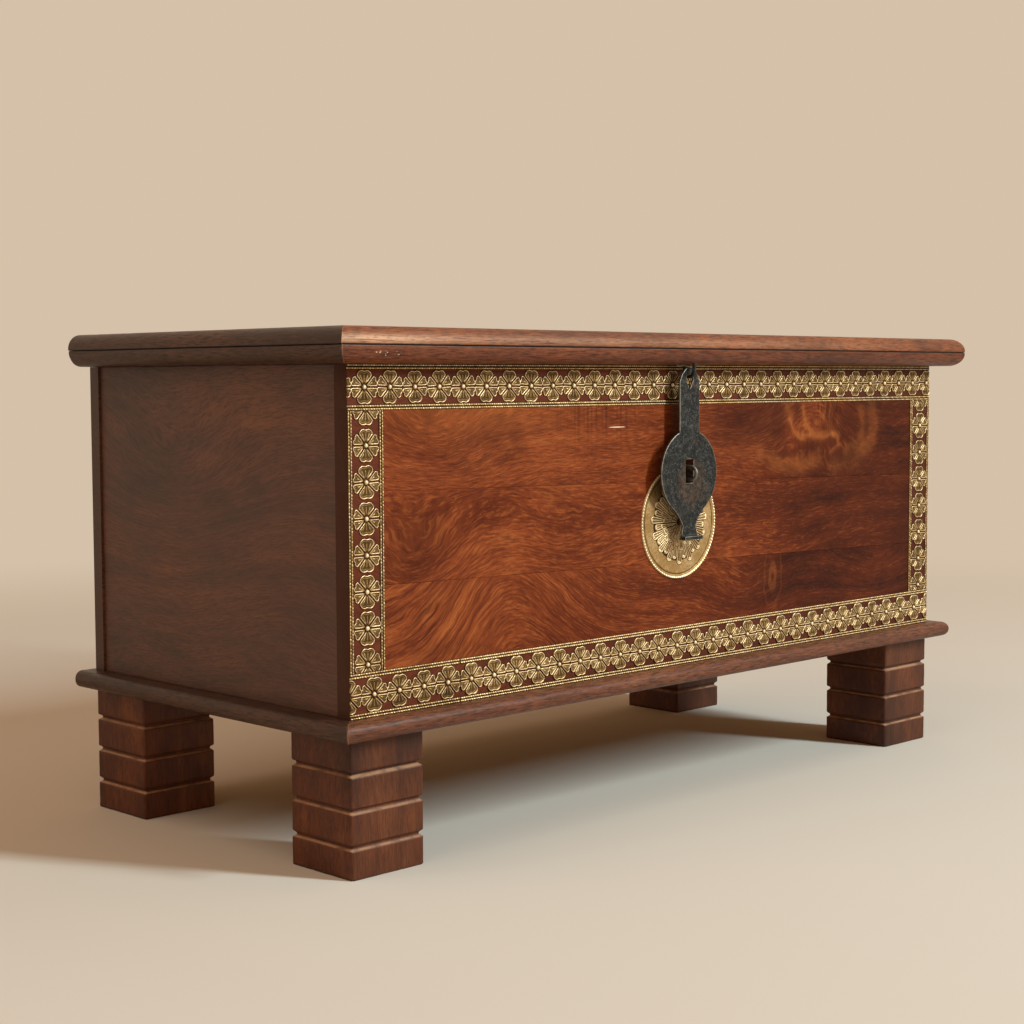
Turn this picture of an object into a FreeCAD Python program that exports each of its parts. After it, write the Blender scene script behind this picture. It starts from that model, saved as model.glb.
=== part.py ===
import FreeCAD, Part
import math
import os
import re

import Sketcher

# Driving sizes of the chest, in millimetres.
SIZES = {
    # Case
    "box_length": 1100,
    "box_depth": 495,
    "box_height": 376,
    "front_thickness": 21,
    "back_thickness": 18,
    "end_thickness": 20,
    "end_recess": 3,
    "bottom_thickness": 15,
    "rail_height": 47,
    "seam_easing": 0.6,
    # Where the two slanting seams of the front panel meet its ends, below the rim of the box
    "upper_seam_left": 134,
    "upper_seam_right": 157,
    "lower_seam_left": 235,
    "lower_seam_right": 257,
    # Base and feet
    "base_thickness": 21,
    "base_width": 84,
    "base_overhang": 24,
    "base_rear_overhang": 10,
    "base_flat": 1.4,
    "foot_height": 152,
    "foot_width": 104,
    "foot_easing": 3,
    "groove_height": 7,
    "groove_depth": 6,
    # Lid
    "layer_thickness": 19.5,
    "lid_overhang": 37,
    "lid_setback": 11,
    "lid_frame_width": 82,
    "lid_nose_flat": 1.3,
    "lid_seam_easing": 0.8,
    "batten_width": 60,
    "batten_thickness": 15,
    "batten_inset": 245,
    # Brass bands
    "band_width": 49,
    "band_thickness": 1.2,
    "rope_width": 5.5,
    "rope_radius": 3.2,
    "nail_radius": 2.4,
    "nail_height": 1.5,
    "flower_pitch": 35.6,
    "side_flower_pitch": 38.8,
    "top_flower_start": 23,
    "bottom_flower_start": 33,
    "side_flower_start": 37,
    # Medallion
    "medallion_radius": 71,
    "medallion_thickness": 1.2,
    "medallion_rim": 6,
    "medallion_rim_radius": 3.2,
    "medallion_drop": 196,
    # Hasp and its two wire staples
    "lock_offset": -16,
    "hasp_standoff": 17,
    "hasp_thickness": 3,
    "hasp_length": 210.5,
    "pivot_drop": 6.5,
    "strap_width": 38,
    "strap_shoulder": 14,
    "crown_radius": 32,
    "crown_width": 7,
    "crown_rise": 4.5,
    "leaf_radius": 54,
    "leaf_shoulder": 77.5,
    "leaf_shoulder_width": 42,
    "leaf_foot": 168.5,
    "leaf_foot_width": 68,
    "neck_drop": 193.5,
    "neck_width": 25,
    "neck_radius": 62,
    "lip_width": 34,
    "lip_height": 5,
    "lip_reach": 8,
    "eye_radius": 6.5,
    "eye_point": 11.5,
    "hang_gap": 0.3,
    "slot_width": 15,
    "slot_top": 110.5,
    "slot_bottom": 139.5,
    "wire_radius": 2.2,
    "wire_clearance": 0.1,
    "ring_radius": 8,
    "staple_drop": 134,
    "staple_reach": 31,
    "clinch_length": 14,
    "clinch_radius": 5,
    "leg_depth": 14,
    "plate_width": 53,
    "plate_depth": 15,
    "plate_thickness": 1.5,
    # Hinges
    "hinge_inset": 220,
    "hinge_width": 90,
    "hinge_drop": 42,
    "hinge_rise": 29,
    "leaf_thickness": 2,
    "knuckle_radius": 4,
    "knuckle_width": 30,
    "knuckle_clearance": 0.3,
    "axis_offset": 5,
    "axis_height": 4.4,
    "pin_radius": 2,
    "pin_clearance": 0.05,
    "pin_head_radius": 3.2,
    "pin_head_height": 1.2,
    "screw_pitch": 32,
    "screw_radius": 1.8,
    "screw_length": 12,
    "screw_head_radius": 3.6,
    "screw_head_height": 1.4,
    # Allowance that carries every cutter past the face it enters
    "cut_overrun": 2,
}

# Shares of the foot's height at which its three grooves lie
GROOVE_SHARES = (0.23, 0.49, 0.75)
# Shares of the width of the case floor, the back and the lid that their boards take
FLOOR_SHARES = (0.34, 0.31, 0.35)
BACK_SHARES = (0.36, 0.3, 0.34)
LID_SHARES = (0.32, 0.36, 0.32)
# Share of the rear leaf's drop at which its screws sit, and of the lid leaf's rise
SCREW_SHARE = 0.62

# Places that many pieces share, written as formulas of the sizes
HALF = "(box_length / 2)"
FRONT = "((lid_overhang - box_depth - base_rear_overhang) / 2)"
BACK = f"({FRONT} + box_depth)"
BASE_TOP = "(foot_height + base_thickness)"
BOX_TOP = f"({BASE_TOP} + box_height)"
LAYER_SEAM = f"({BOX_TOP} + layer_thickness)"
LID_REAR = f"({BACK} - lid_setback)"
INNER_FRONT = f"({FRONT} + front_thickness)"
INNER_BACK = f"({BACK} - back_thickness)"
INNER_HALF = f"({HALF} - end_recess - end_thickness)"
AXIS_Y = f"({LID_REAR} + axis_offset)"
AXIS_Z = f"({BOX_TOP} + axis_height)"
HASP_Y = f"({FRONT} - hasp_standoff)"
PIVOT_Z = f"({BOX_TOP} - pivot_drop)"
HOLE_RADIUS = "(wire_radius + wire_clearance)"

document = FreeCAD.newDocument("damchiya_chest")
sheet = document.addObject("Spreadsheet::Sheet", "sizes")
for row, (name, number) in enumerate(SIZES.items(), start=1):
    sheet.set(f"A{row}", name)
    sheet.set(f"B{row}", str(number))
    sheet.setAlias(f"B{row}", name)
document.recompute()

subparts = {}


def formula(text):
    """Points the size names in a formula at their cells."""
    return re.sub(r"[a-z]+(?:_[a-z]+)+", r"sizes.\g<0>", text)


def value(text):
    """The present number that a formula gives."""
    result = sheet.evalExpression(formula(text))
    return float(getattr(result, "Value", result))


def bind(thing, **formulas):
    """Ties properties of a thing to formulas of the sizes."""
    for name, text in formulas.items():
        thing.setExpression(name, formula(text))


def place(thing, x, y, z):
    """Ties where a thing stands to formulas of the sizes."""
    for axis, text in zip("xyz", (x, y, z)):
        thing.setExpression(f"Placement.Base.{axis}", formula(text))


def keep(thing, label):
    """Names a finished sub-part and notes it for writing."""
    thing.Label = label
    subparts[label] = thing
    return thing


def turn(thing, axis, degrees):
    """Turns a thing about an axis through its own origin."""
    thing.Placement.Rotation = FreeCAD.Rotation(FreeCAD.Vector(*axis), degrees)
    return thing


# Blocks, rods and their combinations
def block(name, length, width, height, x, y, z):
    thing = document.addObject("Part::Box", name)
    bind(thing, Length=length, Width=width, Height=height)
    place(thing, x, y, z)
    return thing


def rod(name, radius, length, x, y, z, axis=(0, 0, 1), degrees=0):
    thing = document.addObject("Part::Cylinder", name)
    bind(thing, Radius=radius, Height=length)
    turn(thing, axis, degrees)
    place(thing, x, y, z)
    return thing


def fuse(name, *pieces):
    thing = document.addObject("Part::MultiFuse", name)
    thing.Shapes = list(pieces)
    return thing


def cut(name, base, *tools):
    tool = tools[0] if len(tools) == 1 else fuse(name + "_cutters", *tools)
    thing = document.addObject("Part::Cut", name)
    thing.Base = base
    thing.Tool = tool
    return thing


# Sketches and the features made from them
def new_body(name):
    return document.addObject("PartDesign::Body", name)


def sketch_on(body, role):
    sketch = body.newObject("Sketcher::SketchObject", f"{body.Name}_sketch")
    plane = next(item for item in body.Origin.OriginFeatures if item.Role == role)
    sketch.AttachmentSupport = [(plane, "")]
    sketch.MapMode = "FlatFace"
    return sketch


def tie_point(sketch, edge, end, x, y):
    """Holds one end of an edge at formulas for x and y."""
    for kind, axis_line, text in (("DistanceX", -2, x), ("DistanceY", -1, y)):
        if text == "0":
            sketch.addConstraint(Sketcher.Constraint("PointOnObject", edge, end, axis_line))
            continue
        index = sketch.addConstraint(Sketcher.Constraint(kind, -1, 1, edge, end, value(text)))
        sketch.setExpression(f"Constraints[{index}]", formula(text))


def arc_through(start, finish, radius):
    """The short arc between two points; a negative radius puts its centre on the right."""
    half = (finish - start) * 0.5
    rise = math.sqrt(radius ** 2 - half.Length ** 2)
    sideways = FreeCAD.Vector(-half.y, half.x, 0).normalize()
    centre = start + half + sideways * math.copysign(rise, radius)
    first, last = (start, finish) if radius > 0 else (finish, start)
    angles = [math.atan2(point.y - centre.y, point.x - centre.x) for point in (first, last)]
    circle = Part.Circle(centre, FreeCAD.Vector(0, 0, 1), abs(radius))
    return Part.ArcOfCircle(circle, *angles)


def outline(sketch, corners, closed=True):
    """Draws edges through corners given as formulas (x, y) or (x, y, radius of the next edge)."""
    points = [FreeCAD.Vector(value(corner[0]), value(corner[1]), 0) for corner in corners]
    count = len(corners) if closed else len(corners) - 1
    ends = []
    for index in range(count):
        start = points[index]
        finish = points[(index + 1) % len(points)]
        bow = corners[index][2] if len(corners[index]) > 2 else None
        if bow is None:
            edge = sketch.addGeometry(Part.LineSegment(start, finish), False)
            ends.append((edge, 1, 2))
            continue
        radius = value(bow)
        edge = sketch.addGeometry(arc_through(start, finish, radius), False)
        ends.append((edge, 1, 2) if radius > 0 else (edge, 2, 1))
        number = sketch.addConstraint(Sketcher.Constraint("Radius", edge, abs(radius)))
        sketch.setExpression(f"Constraints[{number}]", formula(bow.lstrip("-")))
    for index, (edge, start_end, finish_end) in enumerate(ends):
        tie_point(sketch, edge, start_end, corners[index][0], corners[index][1])
        if closed or index + 1 < count:
            following = ends[(index + 1) % count]
            sketch.addConstraint(Sketcher.Constraint("Coincident", edge, finish_end, following[0], following[1]))
    if not closed:
        tie_point(sketch, ends[-1][0], ends[-1][2], corners[-1][0], corners[-1][1])


def ring(sketch, x, y, radius):
    """Draws a circle whose centre and radius are formulas."""
    centre = FreeCAD.Vector(value(x), value(y), 0)
    circle = sketch.addGeometry(Part.Circle(centre, FreeCAD.Vector(0, 0, 1), value(radius)), False)
    tie_point(sketch, circle, 3, x, y)
    index = sketch.addConstraint(Sketcher.Constraint("Radius", circle, value(radius)))
    sketch.setExpression(f"Constraints[{index}]", formula(radius))


def pad(body, sketch, length, backwards=False):
    feature = body.newObject("PartDesign::Pad", f"{body.Name}_pad")
    feature.Profile = sketch
    bind(feature, Length=length)
    feature.Reversed = backwards
    document.recompute()
    return feature


def pocket(body, sketch, backwards=False):
    """Cuts a sketch right through the body and makes sure that it took something away."""
    before = body.Shape.Volume
    feature = body.newObject("PartDesign::Pocket", f"{body.Name}_pocket")
    feature.Profile = sketch
    feature.Type = "ThroughAll"
    feature.Reversed = backwards
    document.recompute()
    if body.Shape.Volume >= before:
        raise RuntimeError(f"{body.Name}: the pocket cuts nothing")
    return feature


def ease(body, kind, wanted, size):
    """Rounds or bevels the edges of the body that a test picks."""
    base = body.Tip
    names = [f"Edge{number}" for number, edge in enumerate(base.Shape.Edges, start=1) if wanted(edge.BoundBox)]
    feature = body.newObject(f"PartDesign::{kind}", f"{body.Name}_{kind.lower()}")
    feature.Base = (base, names)
    bind(feature, **{"Radius" if kind == "Fillet" else "Size": size})
    document.recompute()
    return feature


def revolve(body, sketch):
    """Turns a half section a full turn about the upright axis of its sketch."""
    feature = body.newObject("PartDesign::Revolution", f"{body.Name}_turn")
    feature.Profile = sketch
    feature.ReferenceAxis = (sketch, ["V_Axis"])
    document.recompute()
    return feature


def wire_form(name, path):
    """A round wire that follows a path in the YZ plane from the body's origin, setting out upright."""
    body = new_body(name)
    spine = sketch_on(body, "YZ_Plane")
    outline(spine, path, closed=False)
    section = sketch_on(body, "XY_Plane")
    ring(section, "0", "0", "wire_radius")
    document.recompute()
    feature = body.newObject("PartDesign::AdditivePipe", f"{name}_pipe")
    feature.Profile = section
    feature.Spine = (spine, [f"Edge{number}" for number in range(1, len(spine.Geometry) + 1)])
    document.recompute()
    return body


def scatter(label, seed, places, axis, degrees):
    """A group of copies of one fastener, each turned the same way and set at a place."""
    rotation = FreeCAD.Rotation(FreeCAD.Vector(*axis), degrees)
    copies = []
    for spot in places:
        copy = seed.Shape.copy()
        copy.Placement = FreeCAD.Placement(FreeCAD.Vector(*spot), rotation)
        copies.append(copy)
    group = document.addObject("Part::Feature", label)
    group.Shape = Part.makeCompound(copies)
    group.Placement = FreeCAD.Placement()
    return keep(group, label)


# Feet: square blocks with three grooves all round
def foot(label, x, y):
    body = new_body(label)
    plan = sketch_on(body, "XY_Plane")
    outline(plan, [("0", "0"), ("foot_width", "0"), ("foot_width", "foot_width"), ("0", "foot_width")])
    pad(body, plan, "foot_height")
    top = value("foot_height")
    ease(body, "Fillet", lambda box: box.ZLength > top / 2, "foot_easing")
    for role, backwards in (("XZ_Plane", False), ("YZ_Plane", True)):
        section = sketch_on(body, role)
        for share in GROOVE_SHARES:
            low = f"foot_height * {share} - groove_height / 2"
            middle = f"foot_height * {share}"
            high = f"foot_height * {share} + groove_height / 2"
            outline(section, [("-cut_overrun", low), ("0", low), ("groove_depth", middle),
                              ("0", high), ("-cut_overrun", high)])
            far = "foot_width + cut_overrun"
            outline(section, [(far, low), (far, high), ("foot_width", high),
                              ("foot_width - groove_depth", middle), ("foot_width", low)])
        pocket(body, section, backwards)
    place(body, x, y, "0")
    keep(body, label)


# Frames of mouldings that run round the lid and the base
def stick(label, plan_corners, thickness, floor, noses, radius, easing=None):
    """One stick of a frame; noses are the heights, 0 or 1, at which its outer edge is rounded."""
    body = new_body(label)
    plan = sketch_on(body, "XY_Plane")
    outline(plan, plan_corners)
    pad(body, plan, thickness)
    depth = value(thickness)
    slack = value("lid_nose_flat") / 2
    outer = [FreeCAD.Vector(value(x), value(y), 0) for x, y in plan_corners[:2]]

    def on_outer_edge(box, level):
        ends = FreeCAD.Vector(box.XMin, box.YMin, 0), FreeCAD.Vector(box.XMax, box.YMax, 0)
        reach = sum(min((end - point).Length for point in outer) for end in ends)
        return reach < depth / 2 and abs(box.Center.z - level * depth) < slack

    if noses:
        ease(body, "Fillet", lambda box: any(on_outer_edge(box, level) for level in noses), radius)
    if easing:
        ease(body, "Chamfer", lambda box: on_outer_edge(box, 1 - noses[0]), easing)
    place(body, "0", "0", floor)
    return body


def frame(prefix, overhang, rear, width, thickness, floor, noses, radius, easing=None, drilled=None):
    """Four sticks: mitred at the front corners, with the rear stick between the sides."""
    end = f"({HALF} + {overhang})"
    inner_end = f"({end} - {width})"
    front = f"({FRONT} - {overhang})"
    inner_front = f"({front} + {width})"
    plans = {
        "front": [(f"-{end}", front), (end, front), (inner_end, inner_front), (f"-{inner_end}", inner_front)],
        "left": [(f"-{end}", rear), (f"-{end}", front), (f"-{inner_end}", inner_front), (f"-{inner_end}", rear)],
        "right": [(end, front), (end, rear), (inner_end, rear), (inner_end, inner_front)],
    }
    for side, corners in plans.items():
        label = f"{prefix}_{side}"
        if drilled and side == "front":
            blank = stick(f"{label}_blank", corners, thickness, floor, noses, radius, easing)
            keep(cut(label, blank, *drilled), label)
        else:
            keep(stick(label, corners, thickness, floor, noses, radius, easing), label)
    rear_stick = block(f"{prefix}_rear", f"2 * {inner_end}", width, thickness,
                       f"-{inner_end}", f"{rear} - {width}", floor)
    keep(rear_stick, f"{prefix}_rear")


# Boards
def front_board(label, top_left, top_right, low_left, low_right, drilled=()):
    """A board of the front panel; its edges are given below the rim at either end."""
    name = f"{label}_blank" if drilled else label
    body = new_body(name)
    face = sketch_on(body, "XZ_Plane")
    outline(face, [
        (f"-{HALF}", f"box_height - {low_left}"),
        (HALF, f"box_height - {low_right}"),
        (HALF, f"box_height - {top_right}"),
        (f"-{HALF}", f"box_height - {top_left}"),
    ])
    pad(body, face, "front_thickness", backwards=True)
    long = value("box_length") / 2
    near = value("front_thickness") / 4
    ease(body, "Chamfer", lambda box: box.XLength > long and box.YMax < near, "seam_easing")
    place(body, "0", FRONT, BASE_TOP)
    keep(cut(label, body, *drilled) if drilled else body, label)


def stacked_boards(labels, shares, length, width, span, x, y, z):
    """Boards one above the other across an upright span, from the top down."""
    below = 1.0
    for label, share in zip(labels, shares):
        below = round(below - share, 3)
        height = f"{span} * {share}"
        keep(block(label, length, width, height, x, y, f"{z} + {span} * {below}"), label)


def floor_boards(labels, shares, length, span, height, x, y, z):
    """Boards side by side from the front to the back of a level span."""
    before = 0.0
    for label, share in zip(labels, shares):
        keep(block(label, length, f"({span}) * {share}", height, x, f"{y} + ({span}) * {before}", z), label)
        before = round(before + share, 3)


def base():
    for side, x in (("left", f"-{HALF}"), ("right", f"{HALF} - foot_width")):
        foot(f"foot_front_{side}", x, FRONT)
        foot(f"foot_rear_{side}", x, f"{BACK} - foot_width")
    frame("base_moulding", "base_overhang", f"({BACK} + base_rear_overhang)", "base_width",
          "base_thickness", "foot_height", (0, 1), "(base_thickness - base_flat) / 2")


def case(staple_holes):
    front_board("front_rail_top", "0", "0", "rail_height", "rail_height")
    front_board("front_board_upper", "rail_height", "rail_height",
                "upper_seam_left", "upper_seam_right", staple_holes)
    front_board("front_board_middle", "upper_seam_left", "upper_seam_right",
                "lower_seam_left", "lower_seam_right")
    front_board("front_board_lower", "lower_seam_left", "lower_seam_right", "box_height", "box_height")
    stacked_boards([f"back_board_{level}" for level in ("upper", "middle", "lower")], BACK_SHARES,
                   "box_length", "back_thickness", "box_height", f"-{HALF}", INNER_BACK, BASE_TOP)
    between = f"{INNER_BACK} - {INNER_FRONT}"
    for side, x in (("left", f"-{HALF} + end_recess"), ("right", INNER_HALF)):
        keep(block(f"end_panel_{side}", "end_thickness", between, "box_height", x, INNER_FRONT, BASE_TOP),
             f"end_panel_{side}")
    floor_boards([f"bottom_board_{place_name}" for place_name in ("front", "middle", "rear")], FLOOR_SHARES,
                 f"2 * {INNER_HALF}", between, "bottom_thickness", f"-{INNER_HALF}", INNER_FRONT, BASE_TOP)


def lid(leg_holes):
    nose = "layer_thickness - lid_nose_flat"
    frame("lid_rim", "lid_overhang", LID_REAR, "lid_frame_width", "layer_thickness", BOX_TOP,
          (0,), nose, "lid_seam_easing", leg_holes)
    frame("lid_edge", "lid_overhang", LID_REAR, "lid_frame_width", "layer_thickness", LAYER_SEAM,
          (1,), nose, "lid_seam_easing")
    inner_half = f"({HALF} + lid_overhang - lid_frame_width)"
    inner_front = f"({FRONT} - lid_overhang + lid_frame_width)"
    span = f"{LID_REAR} - lid_frame_width - {inner_front}"
    floor_boards([f"lid_board_{place_name}" for place_name in ("front", "middle", "rear")], LID_SHARES,
                 f"2 * {inner_half}", span, "layer_thickness", f"-{inner_half}", inner_front, LAYER_SEAM)
    for side, sign in (("left", "-"), ("right", "")):
        batten = block(f"lid_batten_{side}", "batten_width", span, "batten_thickness",
                       f"{sign}({inner_half} - batten_inset) - batten_width / 2", inner_front,
                       f"{LAYER_SEAM} - batten_thickness")
        keep(batten, f"lid_batten_{side}")


# Brass bands with a raised rope along each edge, and their nails
def level_band(label, z):
    body = new_body(label)
    section = sketch_on(body, "YZ_Plane")
    face = "-band_thickness"
    outline(section, [
        (face, "0"), ("0", "0"), ("0", "band_width"), (face, "band_width", "rope_radius"),
        (face, "band_width - rope_width"), (face, "rope_width", "rope_radius"),
    ])
    pad(body, section, "box_length")
    place(body, f"-{HALF}", FRONT, z)
    keep(body, label)


def upright_band(label, x):
    body = new_body(label)
    section = sketch_on(body, "XY_Plane")
    face = "-band_thickness"
    outline(section, [
        ("band_width", "0"), ("0", "0"), ("0", face, "rope_radius"), ("rope_width", face),
        ("band_width - rope_width", face, "rope_radius"), ("band_width", face),
    ])
    pad(body, section, "box_height - 2 * band_width")
    place(body, x, FRONT, f"{BASE_TOP} + band_width")
    keep(body, label)


def row_of(start, stop, pitch):
    """Places from start to stop, one pitch apart."""
    return [start + pitch * index for index in range(int((stop - start) / pitch) + 1)]


def band_nails():
    dome = new_body("nail_seed")
    section = sketch_on(dome, "XZ_Plane")
    bow = "(nail_radius ^ 2 + nail_height ^ 2) / (2 * nail_height)"
    outline(section, [("0", "0"), ("nail_radius", "0", bow), ("0", "nail_height")])
    revolve(dome, section)
    half, middle = value(HALF), value("band_width") / 2
    front = value(FRONT) - value("band_thickness")
    pitch = value("flower_pitch")
    top, bottom = value(BOX_TOP), value(BASE_TOP)
    places = []
    for start, z in (("top_flower_start", top - middle), ("bottom_flower_start", bottom + middle)):
        places += [(x, front, z) for x in row_of(value(start) - half, half - value("nail_radius"), pitch)]
    high = top - value("band_width") - value("side_flower_start")
    low = bottom + value("band_width")
    for z in row_of(-high, -low, value("side_flower_pitch")):
        places += [(side * (half - middle), front, -z) for side in (-1, 1)]
    scatter("band_nails", dome, places, (1, 0, 0), 90)


def medallion(staple_holes):
    disc = new_body("medallion_blank")
    section = sketch_on(disc, "XZ_Plane")
    outline(section, [
        ("0", "0"), ("medallion_radius", "0"),
        ("medallion_radius", "medallion_thickness", "medallion_rim_radius"),
        ("medallion_radius - medallion_rim", "medallion_thickness"), ("0", "medallion_thickness"),
    ])
    revolve(disc, section)
    turn(disc, (1, 0, 0), 90)
    place(disc, "lock_offset", FRONT, f"{BOX_TOP} - medallion_drop")
    keep(cut("medallion", disc, *staple_holes), "medallion")


# Hasp, the staple it hangs from and the staple that it closes over
def mirrored(right_side):
    """A closed outline from its right side, listed from the foot up."""
    left_side = []
    for index in range(len(right_side) - 1, -1, -1):
        x, y = right_side[index][:2]
        bow = right_side[index - 1][2:] if index else ()
        left_side.append((f"-({x})", y, *bow))
    return right_side + left_side


def hasp():
    body = new_body("hasp")
    face = sketch_on(body, "XZ_Plane")
    right_side = [
        ("lip_width / 2", "-hasp_length"),
        ("neck_width / 2", "-neck_drop", "-neck_radius"),
        ("leaf_foot_width / 2", "-leaf_foot", "leaf_radius"),
        ("leaf_shoulder_width / 2", "-leaf_shoulder"),
        ("strap_width / 2", "-leaf_shoulder"),
        ("strap_width / 2", "-strap_shoulder", "crown_radius"),
        ("crown_width / 2", "crown_rise"),
    ]
    outline(face, mirrored(right_side))
    pad(body, face, "hasp_thickness", backwards=True)
    holes = sketch_on(body, "XZ_Plane")
    eye_top = "wire_radius + hang_gap - ring_radius"
    eye_middle = f"{eye_top} - eye_radius"
    outline(holes, [("0", f"{eye_middle} - eye_point"), ("eye_radius", eye_middle, "eye_radius"),
                    ("0", eye_top, "eye_radius"), ("-eye_radius", eye_middle)])
    edge = "slot_width / 2"
    outline(holes, [(f"-{edge}", "-slot_bottom"), (edge, "-slot_bottom"),
                    (edge, "-slot_top"), (f"-{edge}", "-slot_top")])
    pocket(body, holes)
    lip = sketch_on(body, "XZ_Plane")
    width = "lip_width / 2"
    outline(lip, [(f"-{width}", "-hasp_length"), (width, "-hasp_length"),
                  (width, "lip_height - hasp_length"), (f"-{width}", "lip_height - hasp_length")])
    pad(body, lip, "lip_reach")
    place(body, "lock_offset", f"{HASP_Y} - hasp_thickness / 2", PIVOT_Z)
    keep(body, "hasp")


def hasp_staple(leg_holes):
    body = wire_form("hasp_staple", [
        ("0", "0"), ("0", "-leg_depth - pivot_drop", "ring_radius"),
        ("ring_radius", "-leg_depth - pivot_drop - ring_radius", "ring_radius"),
        ("2 * ring_radius", "-leg_depth - pivot_drop"), ("2 * ring_radius", "0"),
    ])
    place(body, "lock_offset", f"{HASP_Y} - ring_radius", f"{BOX_TOP} + leg_depth")
    keep(body, "hasp_staple")
    plate = block("hasp_plate_blank", "plate_width", "plate_depth", "plate_thickness",
                  "lock_offset - plate_width / 2", f"{FRONT} - plate_depth - band_thickness - rope_radius",
                  f"{BOX_TOP} - plate_thickness")
    keep(cut("hasp_plate", plate, *leg_holes), "hasp_plate")


def lock_staple():
    """A clinched wire staple: in through the panel, round the eye and back."""
    inside = "front_thickness + wire_radius"
    bend = "clinch_radius"
    straight = "staple_reach - wire_radius - ring_radius"
    drop = "clinch_length"
    low = f"-{drop} - 2 * ring_radius"
    path = [
        ("0", "0"),
        ("0", f"-{drop} + {bend}", f"-{bend}"),
        (f"-{bend}", f"-{drop}"),
        (f"-({inside}) - ({straight})", f"-{drop}", "ring_radius"),
        (f"-({inside}) - ({straight}) - ring_radius", f"-{drop} - ring_radius", "ring_radius"),
        (f"-({inside}) - ({straight})", low),
        (f"-{bend}", low, f"-{bend}"),
        ("0", f"{low} - {bend}"),
        ("0", f"{low} - {drop}"),
    ]
    body = wire_form("lock_staple", path)
    place(body, "lock_offset", f"{INNER_FRONT} + wire_radius",
          f"{BOX_TOP} - staple_drop + ring_radius + clinch_length")
    keep(body, "lock_staple")


# Hinges: an angle leaf over the back, a flat leaf on the lid, a pin through both
def hinge(side, x):
    barrel_start = f"{x} - hinge_width / 2"
    bore = rod(f"hinge_bore_{side}", "pin_radius + pin_clearance", "hinge_width + 2 * cut_overrun",
               f"{barrel_start} - cut_overrun", AXIS_Y, AXIS_Z, (0, 1, 0), 90)

    barrel = rod(f"box_barrel_{side}", "knuckle_radius", "hinge_width",
                 barrel_start, AXIS_Y, AXIS_Z, (0, 1, 0), 90)
    shelf = block(f"box_shelf_{side}", "hinge_width", "lid_setback - axis_offset + leaf_thickness",
                  "leaf_thickness", barrel_start, AXIS_Y, BOX_TOP)
    flap = block(f"box_flap_{side}", "hinge_width", "leaf_thickness", "hinge_drop + leaf_thickness",
                 barrel_start, BACK, f"{BOX_TOP} - hinge_drop")
    gap = block(f"box_gap_{side}", "knuckle_width", "2 * axis_offset", "2 * axis_offset",
                f"{x} - knuckle_width / 2", f"{AXIS_Y} - axis_offset", f"{AXIS_Z} - axis_offset")
    holes = screw_holes(f"box_hole_{side}", x, BACK, f"{BOX_TOP} - hinge_drop * {SCREW_SHARE}")
    label = f"hinge_box_leaf_{side}"
    keep(cut(label, fuse(f"box_leaf_{side}", barrel, shelf, flap), bore, gap, *holes), label)

    inner = "(knuckle_width - 2 * knuckle_clearance)"
    knuckle = rod(f"lid_knuckle_{side}", "knuckle_radius", inner,
                  f"{x} - {inner} / 2", AXIS_Y, AXIS_Z, (0, 1, 0), 90)
    tongue = block(f"lid_tongue_{side}", inner, "leaf_thickness", "axis_offset",
                   f"{x} - {inner} / 2", LID_REAR, AXIS_Z)
    plate = block(f"lid_plate_{side}", "hinge_width", "leaf_thickness", "hinge_rise",
                  barrel_start, LID_REAR, f"{AXIS_Z} + axis_offset")
    holes = screw_holes(f"lid_hole_{side}", x, LID_REAR, f"{AXIS_Z} + axis_offset + hinge_rise * {SCREW_SHARE}")
    label = f"hinge_lid_leaf_{side}"
    keep(cut(label, fuse(f"lid_leaf_{side}", knuckle, tongue, plate), bore, *holes), label)

    heads = [rod(f"pin_head_{end}_{side}", "pin_head_radius", "pin_head_height",
                 start, AXIS_Y, AXIS_Z, (0, 1, 0), 90)
             for end, start in (("near", f"{barrel_start} - pin_head_height"),
                                ("far", f"{barrel_start} + hinge_width"))]
    shaft = rod(f"pin_shaft_{side}", "pin_radius", "hinge_width", barrel_start, AXIS_Y, AXIS_Z, (0, 1, 0), 90)
    keep(fuse(f"hinge_pin_{side}", shaft, *heads), f"hinge_pin_{side}")


def screw_columns(x):
    """The places along the chest of one leaf's three screws."""
    return [f"{x} + screw_pitch * {step}" for step in (-1, 0, 1)]


def screw_holes(name, x, y, z):
    return [rod(f"{name}_{index}", "screw_radius + wire_clearance", "leaf_thickness + 2 * cut_overrun",
                column, f"{y} + leaf_thickness + cut_overrun", z, (1, 0, 0), 90)
            for index, column in enumerate(screw_columns(x))]


def hinges():
    places = {"left": f"-({HALF} - hinge_inset)", "right": f"({HALF} - hinge_inset)"}
    for side, x in places.items():
        hinge(side, x)
    screw = new_body("screw_seed")
    section = sketch_on(screw, "XZ_Plane")
    bow = "(screw_head_radius ^ 2 + screw_head_height ^ 2) / (2 * screw_head_height)"
    outline(section, [
        ("0", "-screw_length"), ("screw_radius", "screw_radius - screw_length"), ("screw_radius", "0"),
        ("screw_head_radius", "0", bow), ("0", "screw_head_height"),
    ])
    revolve(screw, section)
    columns = [value(column) for x in places.values() for column in screw_columns(x)]
    leaf = value("leaf_thickness")
    for label, y, z in (
        ("hinge_screws_box", BACK, f"{BOX_TOP} - hinge_drop * {SCREW_SHARE}"),
        ("hinge_screws_lid", LID_REAR, f"{AXIS_Z} + axis_offset + hinge_rise * {SCREW_SHARE}"),
    ):
        spots = [(column, value(y) + leaf, value(z)) for column in columns]
        scatter(label, screw, spots, (1, 0, 0), -90)


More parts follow.
